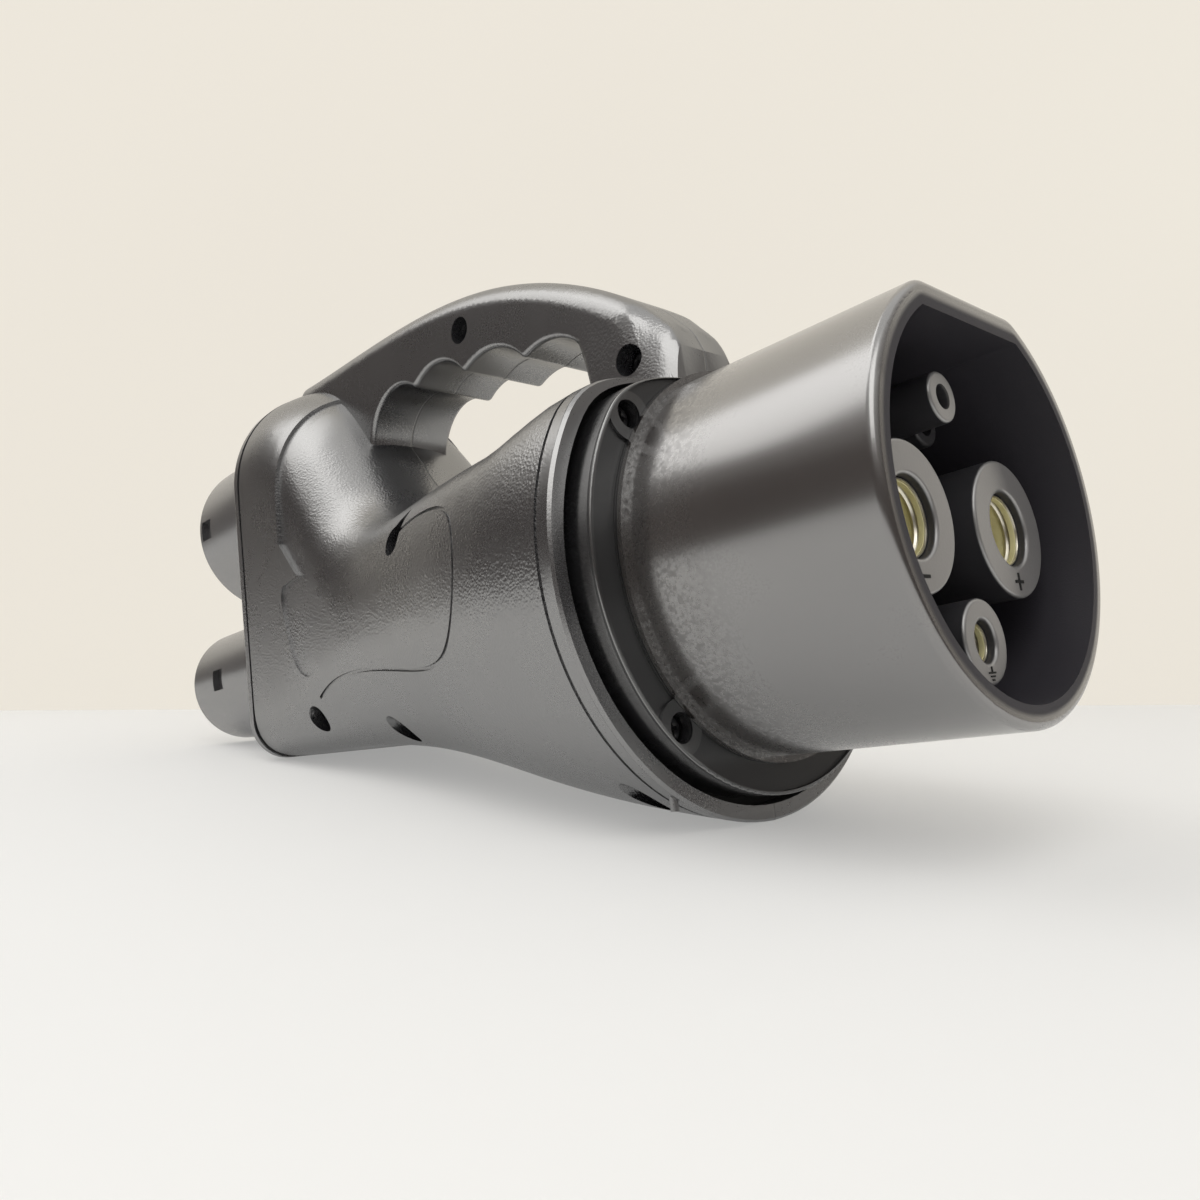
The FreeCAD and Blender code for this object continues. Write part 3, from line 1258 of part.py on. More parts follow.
# Flat earth link from the low front socket up to the rear one
link = new_body("earth_link")
outline = new_sketch(link, "Outline", "XZ_Plane", "-Dim.link_half")
link_front = FRONT_SOCKET_X + " - (" + FRONT_SOCKET_LENGTH + ")"
link_back = SPIGOT_END + " + Dim.tail_length"
chain(outline, [
    (link_front, "-Dim.earth_drop - Dim.link_height / 2"),
    (link_front, "-Dim.earth_drop + Dim.link_height / 2"),
    ("-Dim.link_low_x", "-Dim.earth_drop + Dim.link_height / 2"),
    ("-Dim.link_mid_x", "Dim.link_mid_z + Dim.link_height / 2"),
    (link_back, "Dim.upper_barrel_rise + Dim.link_height / 2"),
    (link_back, "Dim.upper_barrel_rise - Dim.link_height / 2"),
    ("-Dim.link_mid_x", "Dim.link_mid_z - Dim.link_height / 2"),
    ("-Dim.link_low_x", "-Dim.earth_drop - Dim.link_height / 2"),
])
pad(link, outline, "2 * Dim.link_half", "Link")
nodes["earth_link"] = link


# Placement of the turned pieces in the level adapter
def level(x_value, y_value, z_value, turned=False):
    spin = FreeCAD.Rotation(FreeCAD.Vector(0, 0, 1), 180 if turned else 0)
    return FreeCAD.Placement(FreeCAD.Vector(x_value, y_value, z_value), spin)


dc_side = val("Dim.dc_side")
dc_z = -val("Dim.dc_drop")
earth_z = -val("Dim.earth_drop")
rear_dc_side = val("Dim.rear_dc_side")
rear_dc_z = val("Dim.lower_barrel_rise")
rear_front_x = val(TIP_X + " + Dim.mouth_lip_depth + Dim.socket_gap")
places = {
    "dc_minus_sleeve": level(0, -dc_side, dc_z),
    "dc_minus_socket": level(0, -dc_side, dc_z),
    "dc_plus_sleeve": level(0, dc_side, dc_z),
    "dc_plus_socket": level(0, dc_side, dc_z),
    "earth_sleeve": level(0, 0, earth_z),
    "earth_socket": level(0, 0, earth_z),
    "dc_minus_band": level(0, -dc_side, dc_z),
    "dc_plus_band": level(0, dc_side, dc_z),
    "rear_dc_plus_socket": level(rear_front_x, rear_dc_side, rear_dc_z, True),
    "rear_dc_minus_socket": level(rear_front_x, -rear_dc_side, rear_dc_z, True),
    "rear_earth_socket": level(rear_front_x, 0, val("Dim.upper_barrel_rise"), True),
}

doc.recompute()
for item in doc.Objects:
    for state in item.State:
        if state in ("Invalid", "Error"):
            raise ValueError("%s is %s" % (item.Label, state))

# Rest pose: tipped nose-up onto the ring and the rear plate, centred over the origin
run = val(LIP_X) - val(PLATE_BACK)
pitch = math.degrees(math.atan2(val("Dim.ring_radius - Dim.rear_drop"), run))
tip_up = FreeCAD.Placement(FreeCAD.Vector(0, 0, 0), FreeCAD.Rotation(FreeCAD.Vector(0, 1, 0), -pitch))
lows = []
xs = []
for name, item in nodes.items():
    shape = item.Shape.copy()
    shape.Placement = tip_up.multiply(places.get(name, FreeCAD.Placement()))
    vertices, faces = shape.tessellate(0.05)
    lows.append(min(vertex.z for vertex in vertices))
    xs.extend([min(vertex.x for vertex in vertices), max(vertex.x for vertex in vertices)])
rest = FreeCAD.Placement(FreeCAD.Vector(-(min(xs) + max(xs)) / 2, 0, -min(lows)), tip_up.Rotation)

os.makedirs("parts", exist_ok=True)
for name, item in nodes.items():
    item.Placement = rest.multiply(places.get(name, FreeCAD.Placement()))
    shape = item.Shape
    if shape.isNull() or not shape.isValid() or not shape.Solids:
        raise ValueError("%s has no valid solid" % name)
    shape.exportStep("parts/%s.step" % name)
print("pitch %.2f" % pitch, "offset", rest.Base)
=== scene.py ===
import math

import bmesh
import bpy
from mathutils import Matrix, Vector


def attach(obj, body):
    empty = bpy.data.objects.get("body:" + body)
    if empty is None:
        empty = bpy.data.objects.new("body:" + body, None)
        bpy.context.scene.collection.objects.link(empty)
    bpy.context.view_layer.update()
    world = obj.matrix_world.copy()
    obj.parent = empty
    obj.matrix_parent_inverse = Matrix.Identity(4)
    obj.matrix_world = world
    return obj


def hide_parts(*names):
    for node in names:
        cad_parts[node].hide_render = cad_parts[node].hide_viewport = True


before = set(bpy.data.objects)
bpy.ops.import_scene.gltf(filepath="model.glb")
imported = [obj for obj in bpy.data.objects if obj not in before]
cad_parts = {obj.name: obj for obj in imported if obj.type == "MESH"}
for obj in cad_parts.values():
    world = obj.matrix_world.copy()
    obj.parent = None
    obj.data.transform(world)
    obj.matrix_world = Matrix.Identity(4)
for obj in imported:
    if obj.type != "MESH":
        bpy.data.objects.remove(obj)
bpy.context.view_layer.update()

# The adapter is drawn level and lies tipped nose-up on the desk
MILLIMETRES = 1000
PITCH = math.radians(9.7226)
SHIFT = Vector((130.7516, 0.0, 58.9487))
TIP = Matrix.Rotation(-PITCH, 3, "Y")
BACK_TO_LEVEL = -(TIP.transposed() @ SHIFT) / MILLIMETRES


def at(x, y, z):
    """Place in the scene of a point on the level adapter, given in millimetres."""
    return (TIP @ Vector((x, y, z)) + SHIFT) / MILLIMETRES


# Shader maths as plain expressions
class Field:
    def __init__(self, finish, socket):
        self.finish = finish
        self.socket = socket

    def maths(self, operation, *values):
        return self.finish.node("ShaderNodeMath", {"operation": operation}, dict(enumerate(values)))

    def __add__(self, other):
        return self.maths("ADD", self, other)

    def __sub__(self, other):
        return self.maths("SUBTRACT", self, other)

    def __rsub__(self, other):
        return self.maths("SUBTRACT", other, self)

    def __mul__(self, other):
        return self.maths("MULTIPLY", self, other)

    def __abs__(self):
        return self.maths("ABSOLUTE", self)

    __radd__ = __add__
    __rmul__ = __mul__

    def wave(self):
        return self.maths("SINE", self)

    def rise(self, low, high):
        """0 below low, 1 over high, smooth between them."""
        return self.finish.node("ShaderNodeMapRange", {"interpolation_type": "SMOOTHSTEP"},
                                {"Value": self, "From Min": low, "From Max": high})

    def fall(self, low, high):
        return 1 - self.rise(low, high)


class Finish:
    """One material on a Principled surface, with its patterns in the adapter's level frame."""

    def __init__(self, name, **fixed):
        self.material = bpy.data.materials.new(name)
        self.material.use_nodes = True
        self.tree = self.material.node_tree
        self.tree.nodes.clear()
        self.surface = self.tree.nodes.new("ShaderNodeBsdfPrincipled")
        self.output = self.tree.nodes.new("ShaderNodeOutputMaterial")
        self.tree.links.new(self.surface.outputs[0], self.output.inputs["Surface"])
        for socket, value in fixed.items():
            self.surface.inputs[socket.replace("_", " ")].default_value = value
        place = self.node("ShaderNodeTexCoord", output="Object")
        self.level = self.node("ShaderNodeMapping", {"vector_type": "POINT"},
                               {"Vector": place, "Location": BACK_TO_LEVEL, "Rotation": (0, PITCH, 0)})
        self.x, self.y, self.z = self.parts(self.level)

    def node(self, kind, settings=None, sockets=None, output=0):
        """A new node's output; sockets take numbers or what other nodes give."""
        made = self.tree.nodes.new(kind)
        for key, value in (settings or {}).items():
            setattr(made, key, value)
        for key, value in (sockets or {}).items():
            if isinstance(value, Field):
                self.tree.links.new(value.socket, made.inputs[key])
            else:
                made.inputs[key].default_value = value
        return Field(self, made.outputs[output])

    def parts(self, vector):
        first = self.node("ShaderNodeSeparateXYZ", {}, {"Vector": vector})
        outputs = first.socket.node.outputs
        return [Field(self, outputs[letter]) for letter in "XYZ"]

    def clouds(self, scale, detail=3.0, roughness=0.55, stretch=(1, 1, 1)):
        """Noise from 0 to 1; scale is in repeats per metre."""
        vector = self.level
        if stretch != (1, 1, 1):
            vector = self.node("ShaderNodeVectorMath", {"operation": "MULTIPLY"},
                               {0: self.level, 1: stretch})
        return self.node("ShaderNodeTexNoise", {},
                         {"Vector": vector, "Scale": scale, "Detail": detail, "Roughness": roughness})

    def pebbles(self, scale):
        """Rounded cells, 0 at their middles."""
        return self.node("ShaderNodeTexVoronoi", {"feature": "SMOOTH_F1"},
                         {"Vector": self.level, "Scale": scale, "Smoothness": 0.6}, "Distance")

    def blend(self, factor, first, second):
        return self.node("ShaderNodeMix", {"data_type": "RGBA"}, {0: factor, 6: first, 7: second}, 2)

    def radius(self):
        """Distance from the adapter's axis."""
        return self.node("ShaderNodeMath", {"operation": "SQRT"}, {0: self.y * self.y + self.z * self.z})

    def paint(self, socket, value):
        self.tree.links.new(value.socket, self.surface.inputs[socket])

    def emboss(self, height, depth, strength):
        """Relief of the height pattern, with its depth in metres."""
        self.paint("Normal", self.node("ShaderNodeBump", {}, {"Height": height, "Distance": depth,
                                                              "Strength": strength}, "Normal"))


def grey(value):
    return (value, value, value, 1)


# Soft edges between the zones of a finish, in metres on the level adapter
# Along the axis, from front to back
SLEEVE_FRONT = (-0.0078, -0.0073)
SHELL_BOTTOM = (-0.0455, -0.0440)
ROOT_FRONT = (-0.047, -0.028)
ROOT_BACK = (-0.0500, -0.0495)
FLANGE_START = (-0.0504, -0.0502)
BOSS_BACK = (-0.0508, -0.0506)
SUNK_FRONT = (-0.05095, -0.0508)
SUNK_BACK = (-0.0515, -0.0513)
MOUTH_RING = (-0.0600, -0.0575)
BARREL_START = (-0.2085, -0.2080)
# Upwards
SHELL_CEILING = (0.0310, 0.0325)
GRIP_FOOT = (0.050, 0.062)
# Out from the axis, and out from the middle plane
SHELL_BORE = (0.0352, 0.0362)
BEAD_EDGE = (0.0385, 0.0390)
PARTING_LINE = (0.00008, 0.00034)


# Finishes
def housing_finish():
    """Grained black-grey moulding, smoother on ring and grip, with its parting line."""
    made = Finish("grained housing plastic", IOR=2.3, Specular_IOR_Level=0.9)
    cells = made.pebbles(1700)
    fine = made.clouds(2600, 2)
    broad = made.clouds(22, 3)
    on_grip = made.z.rise(*GRIP_FOOT)
    on_ring = made.x.rise(*MOUTH_RING)
    grain = (1 - on_grip * 0.72) * (1 - on_ring * 0.8)
    seam = 1 - abs(made.y).rise(*PARTING_LINE)
    tone = made.blend(broad, (0.012, 0.012, 0.014, 1), (0.020, 0.020, 0.023, 1))
    specks = made.clouds(3800, 1).rise(0.74, 0.80)
    tone = made.blend(specks * 0.25, tone, (0.08, 0.08, 0.085, 1))
    tone = made.blend(seam * 0.8, tone, (0.004, 0.004, 0.005, 1))
    made.paint("Base Color", tone)
    made.paint("Roughness", 0.22 + 0.07 * made.clouds(60, 4) + 0.05 * fine + 0.3 * seam)
    height = (cells * 0.8 + fine * 0.35) * grain - seam * 1.6
    made.emboss(height, 0.00010, 0.8)
    return made


def shell_finish():
    """Satin shell: faintly brown outside, mottled at its root, violet-grey and fine-grained inside."""
    made = Finish("satin shell plastic", IOR=1.55, Coat_IOR=2.9, Coat_Roughness=0.21)
    inside = made.radius().fall(*SHELL_BORE) * made.z.fall(*SHELL_CEILING) * made.x.rise(*SHELL_BOTTOM)
    root = made.x.fall(*ROOT_FRONT) * made.x.rise(*ROOT_BACK)
    drift = made.clouds(28, 4, stretch=(0.5, 1, 1))
    mottle = made.clouds(1000, 4, 0.7)
    fine = made.clouds(3000, 2)
    on_flange = made.x.fall(*FLANGE_START)
    sunk = made.x.fall(*SUNK_FRONT) * made.x.rise(*SUNK_BACK) * made.radius().rise(*BEAD_EDGE)
    boss = made.x.fall(*FLANGE_START) * made.x.rise(*BOSS_BACK)
    outer = made.blend(drift, (0.018, 0.0155, 0.0145, 1), (0.034, 0.029, 0.027, 1))
    outer = made.blend(root * mottle * 0.7, outer, (0.050, 0.046, 0.045, 1))
    # the flange behind the shell is painted darker: in part a darker moulding, in part painted shade of the
    # recess round the shell's root
    outer = made.blend(on_flange, outer, (0.008, 0.008, 0.009, 1))
    made.paint("Base Color", made.blend(inside, outer, (0.024, 0.022, 0.029, 1)))
    lacquer = (1 - inside) * (1 - 0.75 * sunk) * (1 - 0.6 * boss)
    lacquer = lacquer * (1 - 0.6 * root * mottle.rise(0.42, 0.66))
    made.paint("Coat Weight", lacquer * (0.88 + 0.12 * drift))
    gloss = 0.20 + 0.09 * drift + 0.22 * root * mottle.rise(0.4, 0.7) + 0.05 * fine
    made.paint("Roughness", gloss + 0.3 * inside + 0.12 * on_flange + 0.35 * sunk)
    height = fine * (0.25 + 0.9 * inside + 0.8 * on_flange) + mottle * (0.25 * root)
    made.emboss(height, 0.00004, 0.6)
    return made


def insulator_finish():
    """Matt dark insulator with a fine spark-eroded face; the sleeve fronts are painted light grey as a
    painted sheen, and they and the barrels have more shine.
    """
    made = Finish("insulator plastic", IOR=1.6, Coat_IOR=2.5, Coat_Roughness=0.26)
    fine = made.clouds(2200, 3)
    broad = made.clouds(45, 3)
    front = made.x.rise(*SLEEVE_FRONT)
    behind = made.x.fall(*BARREL_START)
    tone = made.blend(broad, (0.018, 0.0175, 0.020, 1), (0.028, 0.027, 0.032, 1))
    # the sleeve fronts are painted light grey: a painted sheen
    made.paint("Base Color", made.blend(front * 0.8, tone, (0.19, 0.186, 0.184, 1)))
    made.paint("Roughness", 0.46 + 0.12 * fine - 0.08 * front)
    made.paint("Coat Weight", 0.06 + 0.94 * front + 0.94 * behind)
    made.emboss(fine, 0.00006, 0.5)
    return made


def contact_finish():
    """Silver-plated turned contact: fine tool rings, a faint yellow tarnish."""
    made = Finish("silver contact", Metallic=1.0)
    rings = (made.x * 42000).wave()
    blotches = made.clouds(160, 4)
    made.paint("Base Color", made.blend(blotches, (0.86, 0.84, 0.76, 1), (0.72, 0.67, 0.52, 1)))
    made.paint("Roughness", 0.24 + 0.12 * blotches)
    made.emboss(rings, 0.000004, 0.5)
    return made


def spring_finish():
    """Gold-plated spring band inside each power socket, with olive patches at random as painted shade."""
    made = Finish("gold spring band", Metallic=0.35)
    strips = (made.x * 9000).wave()
    blotches = made.clouds(240, 4)
    # the olive patches are painted shade, spread at random
    made.paint("Base Color", made.blend(blotches, (0.88, 0.83, 0.52, 1), (0.62, 0.57, 0.30, 1)))
    made.paint("Roughness", 0.36 + 0.14 * blotches)
    made.emboss(strips, 0.00001, 0.4)
    return made


def copper_finish():
    """Bare copper, stained in patches and brushed along the bars."""
    made = Finish("copper bar", Metallic=1.0)
    blotches = made.clouds(90, 4)
    brushed = made.clouds(700, 3, stretch=(0.06, 1, 1))
    made.paint("Base Color", made.blend(blotches, (0.80, 0.42, 0.27, 1), (0.58, 0.27, 0.16, 1)))
    made.paint("Roughness", 0.28 + 0.16 * brushed)
    made.emboss(brushed, 0.00001, 0.4)
    return made


def rubber_finish():
    """Matt black seal."""
    made = Finish("seal rubber", IOR=1.5, Specular_IOR_Level=0.35)
    fine = made.clouds(1800, 3)
    made.paint("Base Color", made.blend(fine, grey(0.008), grey(0.016)))
    made.paint("Roughness", 0.66 + 0.14 * fine)
    made.emboss(fine, 0.00005, 0.5)
    return made


def mark_finish():
    """Moulded signs, a darker matt than the sleeves that carry them."""
    made = Finish("sign plastic", IOR=1.45)
    fine = made.clouds(2400, 2)
    made.paint("Base Color", made.blend(fine, grey(0.006), grey(0.012)))
    made.paint("Roughness", 0.7 + 0.1 * fine)
    made.emboss(fine, 0.00003, 0.4)
    return made


def screw_finish():
    """Black zinc screws, worn a little brighter in random patches."""
    made = Finish("black zinc screw", Metallic=0.85)
    worn = made.clouds(900, 4).rise(0.52, 0.72)
    made.paint("Base Color", made.blend(worn, (0.030, 0.030, 0.033, 1), (0.16, 0.155, 0.15, 1)))
    made.paint("Roughness", 0.30 + 0.16 * made.clouds(1500, 3))
    made.emboss(made.clouds(2600, 2), 0.00002, 0.4)
    return made


# The finish of each slot, and the nodes that wear it
slots = {
    "housing_plastic": housing_finish(),
    "shell_plastic": shell_finish(),
    "insulator_plastic": insulator_finish(),
    "silver_contact": contact_finish(),
    "gold_spring": spring_finish(),
    "copper": copper_finish(),
    "seal_rubber": rubber_finish(),
    "black_screw": screw_finish(),
    "mark_plastic": mark_finish(),
}
dressed = {
    "housing_plastic": ["right_housing", "left_housing", "rear_plate"],
    "shell_plastic": ["front_shroud"],
    "insulator_plastic": ["front_insulator", "dc_plus_sleeve", "dc_minus_sleeve", "earth_sleeve",
                          "upper_barrel", "lower_barrel"],
    "silver_contact": ["dc_plus_socket", "dc_minus_socket", "earth_socket", "signal_sockets",
                       "rear_dc_plus_socket", "rear_dc_minus_socket", "rear_earth_socket",
                       "rear_signal_sockets"],
    "gold_spring": ["dc_plus_band", "dc_minus_band"],
    "copper": ["busbar_plus", "busbar_minus", "earth_link"],
    "seal_rubber": ["front_gasket", "rear_gasket"],
    "black_screw": ["flange_screws", "housing_screws", "plate_screws"],
}
for slot, names in dressed.items():
    for name in names:
        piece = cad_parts[name]
        if not piece.material_slots:
            piece.data.materials.append(slots[slot].material)
        for place in piece.material_slots:
            place.material = slots[slot].material


# Pieces
PRESSED_SHARP, SCREW_SHARP, SMALL_SHARP = 26, 28, 35


def smooth_faces(data, sharp):
    """Smooth shading, with edges of more than so many degrees left sharp."""
    data.polygons.foreach_set("use_smooth", [True] * len(data.polygons))
    data.set_sharp_from_angle(angle=math.radians(sharp))


def full_turn(steps):
    return [2 * math.pi * number / steps for number in range(steps)]


def mesh_piece(name, built, slot):
    """A piece in the finish of its slot from a built mesh."""
    data = bpy.data.meshes.new(name)
    bmesh.ops.recalc_face_normals(built, faces=built.faces)
    built.to_mesh(data)
    built.free()
    piece = bpy.data.objects.new(name, data)
    bpy.context.collection.objects.link(piece)
    data.materials.append(slots[slot].material)
    smooth_faces(data, SMALL_SHARP)
    return piece


def keep(piece, slot, *replaced):
    """Ride the piece with the rest, in place of the replaced nodes. The slot is not used."""
    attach(piece, "root")
    if replaced:
        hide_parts(*replaced)


def join_loops(built, first, second):
    """A band of faces between two loops of as many corners."""
    count = len(first)
    for number in range(count):
        after = (number + 1) % count
        built.faces.new((first[number], first[after], second[after], second[number]))


def revolved(built, across, up, profile):
    """Closed ring from (x, radius) points, turned round a line along the axis."""
    rows = [[built.verts.new(at(x, across + radius * math.cos(turn), up + radius * math.sin(turn)))
             for turn in full_turn(48)] for x, radius in profile]
    for first, second in zip(rows, rows[1:] + rows[:1]):
        join_loops(built, first, second)


def bar(built, x_low, x_high, corners):
    """Flat prism between two x places over (y, z) corners."""
    back = [built.verts.new(at(x_low, y, z)) for y, z in corners]
    front = [built.verts.new(at(x_high, y, z)) for y, z in corners]
    built.faces.new(back)
    built.faces.new(front)
    join_loops(built, back, front)


# The mouth and waist have a flat crown that follows the D of the shell, and the handle's toe comes
# down to it. Places are on the level adapter, in millimetres.
# Along the axis: whole press from flange to waist, none behind the shoulder
FLANGE_FRONT, RING_BACK, WAIST = -50.45, -60.0, -85.0
GAP_REAR, SHOULDER = -128.0, -165.0
# Height where the press starts, and the room that all above it keeps within
RING_START, RING_ROOM = 27.0, 13.5
WAIST_START, WAIST_ROOM = 20.0, 14.0
# The handle keeps its height, from a short rise over the ring
HANDLE_SIDE, OLD_CROWN, TOE_RISE = 13.6, 50.4, 6.0
# The crown of the toe as it was, how much lower it is now, and how far back that reaches
TOE_FRONT, TOE_SLACK, TOE_CROWN, TOE_SLOPE = -56.5, 0.1, 51.5, 0.91
TOE_LOWER, TOE_NOSE, NOSE_LENGTH = 1.2, 3.3, 2.0
TOE_WHOLE, TOE_FADE = 4.0, 6.0
# The toe's seam screw and its hole
TOE_SCREW_X, TOE_SCREW_Z, OLD_TOE_SCREW_Z = -66.5, 46.3, 45.0
SCREW_HOLE, HOLE_MARGIN, HOLE_SHRUNK, HOLE_FLOOR_Y = 3.4, 0.3, 0.02, -7.0
SEAM_SEAT_Y, HOLE_OUTSIDE_Y = -6.0, -26.0
# The shell with its bead, which the press leaves alone
BEAD_RADIUS, SHELL_FLAT = 39.7, 35.9


def eased(value):
    """0 to 1, with a soft start and end."""
    value = min(1.0, max(0.0, value))
    return value * value * (3 - 2 * value)


def between(part, first, second):
    """The value a part of the way from first to second."""
    return first + part * (second - first)


def flat_height(z, start, room):
    """Height z pressed so that what is over start keeps within room."""
    return start + room * (1 - math.exp((start - z) / room))


def pressed(x, y, z):
    """Height of a level point once the crown over the mouth and waist is pressed flat."""
    to_waist = eased((RING_BACK - x) / (RING_BACK - WAIST))
    start = between(to_waist, RING_START, WAIST_START)
    room = between(to_waist, RING_ROOM, WAIST_ROOM)
    if x > FLANGE_FRONT or z < start:
        return z
    drop = z - flat_height(z, start, room)
    drop *= 1 - eased((GAP_REAR - x) / (GAP_REAR - SHOULDER))
    if abs(y) < HANDLE_SIDE:
        drop *= 1 - eased((z - OLD_CROWN) / TOE_RISE)
        if z > OLD_CROWN and x < TOE_FRONT + TOE_SLACK:
            back = max(TOE_FRONT - x, 0)
            crown = TOE_CROWN + TOE_SLOPE * back
            new_crown = crown - TOE_LOWER - TOE_NOSE * math.exp(-back / NOSE_LENGTH)
            ring_top = flat_height(OLD_CROWN, start, room)
            toe = between((z - OLD_CROWN) / (crown - OLD_CROWN), ring_top, new_crown)
            drop = between(1 - eased((back - TOE_WHOLE) / TOE_FADE), drop, z - toe)
    return z - drop


def on_shell(y, z):
    """Whether a point of the front moulding is on the shell or its bead."""
    return math.hypot(y, z) < BEAD_RADIUS and z < SHELL_FLAT


def in_old_hole(x, y, z):
    """Whether a point is on the screw hole that the toe has in the solid."""
    beside = math.hypot(x - TOE_SCREW_X, z - OLD_TOE_SCREW_Z)
    return y < HOLE_FLOOR_Y and beside < SCREW_HOLE + HOLE_MARGIN


def pressed_piece(name, node, slot):
    """The node's own mesh with its crown pressed; the old hole of the toe screw shrinks to a dot."""
    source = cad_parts[node]
    points = []
    for vertex in source.data.vertices:
        x, y, z = TIP.transposed() @ (source.matrix_world @ vertex.co * MILLIMETRES - SHIFT)
        if node == "right_housing" and in_old_hole(x, y, z):
            x = between(HOLE_SHRUNK, TOE_SCREW_X, x)
            z = between(HOLE_SHRUNK, OLD_TOE_SCREW_Z, z)
        if node != "front_shroud" or not on_shell(y, z):
            z = pressed(x, y, z)
        points.append(at(x, y, z))
    data = bpy.data.meshes.new(name)
    data.from_pydata(points, [], [tuple(face.vertices) for face in source.data.polygons])
    built = bmesh.new()
    built.from_mesh(data)
    bmesh.ops.remove_doubles(built, verts=built.verts, dist=2e-6)
    built.to_mesh(data)
    built.free()
    data.materials.append(slots[slot].material)
    piece = bpy.data.objects.new(name, data)
    bpy.context.collection.objects.link(piece)
    return piece


def plain_mesh(piece, *modifiers):
    """The piece with modifiers, given as (type, settings), applied to its mesh."""
    for kind, settings in modifiers:
        added = piece.modifiers.new(kind.lower(), kind)
        for key, value in settings.items():
            setattr(added, key, value)
    bpy.context.view_layer.update()
    solid = bpy.data.meshes.new_from_object(piece.evaluated_get(bpy.context.evaluated_depsgraph_get()))
    piece.modifiers.clear()
    piece.data = solid
    return piece


def finish_smooth(piece):
    smooth_faces(piece.data, PRESSED_SHARP)
    return plain_mesh(piece, ("WEIGHTED_NORMAL", {"keep_sharp": True}))


def toe_hole():
    """Round cutter for the screw hole in the toe of the handle."""
    built = bmesh.new()
    mouth, floor = [[built.verts.new(at(TOE_SCREW_X + SCREW_HOLE * math.cos(turn), y,
                                        TOE_SCREW_Z + SCREW_HOLE * math.sin(turn)))
                     for turn in full_turn(40)] for y in (HOLE_OUTSIDE_Y, SEAM_SEAT_Y)]
    built.faces.new(mouth)
    built.faces.new(floor)
    join_loops(built, mouth, floor)
    return mesh_piece("toe hole", built, "housing_plastic")


right_half = pressed_piece("right_half", "right_housing", "housing_plastic")
cutter = toe_hole()
plain_mesh(right_half, ("BOOLEAN", {"object": cutter, "operation": "DIFFERENCE", "solver": "EXACT"}))
bpy.data.objects.remove(cutter)
keep(finish_smooth(right_half), "housing_plastic", "right_housing")
for name, node, slot in (("left_half", "left_housing", "housing_plastic"),
                         ("shroud_form", "front_shroud", "shell_plastic"),
                         ("gasket_form", "front_gasket", "seal_rubber"),
                         ("insulator_form", "front_insulator", "insulator_plastic")):
    keep(finish_smooth(pressed_piece(name, node, slot)), slot, node)


# Screws with a cross recess, set in their places by one geometry tree
def screw_pattern(name, head_radius, head_height, shank_radius, shank_length):
    """One screw about the origin, head towards +Z, in metres."""
    built = bmesh.new()
    arm, web = 0.56 * head_radius, 0.15 * head_radius
    inner = web * 1.3
    quarter = [(arm, -web), (arm, web), (inner, inner)]
    cross = []
    for _ in range(4):
        cross += quarter
        quarter = [(-y, x) for x, y in quarter]

    def ring(radius, height):
        return [built.verts.new((radius * math.cos(turn), radius * math.sin(turn), height))
                for turn in full_turn(32)]

    # from the top of the rounded head down to the tip of the shank
    top = ring(head_radius * 0.74, head_height)
    rings = [top, ring(head_radius * 0.92, head_height * 0.86), ring(head_radius, head_height * 0.55),
             ring(head_radius, 0), ring(shank_radius, 0), ring(shank_radius, -shank_length * 0.94),
             ring(shank_radius * 0.5, -shank_length)]
    for first, second in zip(rings, rings[1:]):
        join_loops(built, first, second)
    built.faces.new(rings[-1])
    # the cross narrows to its floor
    narrow, floor_height = 0.55, head_height * 0.35
    lip = [built.verts.new((x, y, head_height)) for x, y in cross]
    floor = [built.verts.new((x * narrow, y * narrow, floor_height)) for x, y in cross]
    join_loops(built, lip, floor)
    built.faces.new(floor)
    edges = []
    for loop in (top, lip):
        for number in range(len(loop)):
            pair = (loop[number], loop[(number + 1) % len(loop)])
            edges.append(built.edges.get(pair) or built.edges.new(pair))
    bmesh.ops.triangle_fill(built, use_beauty=True, use_dissolve=False, edges=edges)
    bmesh.ops.recalc_face_normals(built, faces=built.faces)
    data = bpy.data.meshes.new(name)
    built.to_mesh(data)
    built.free()
    smooth_faces(data, SCREW_SHARP)
    return bpy.data.objects.new(name, data)


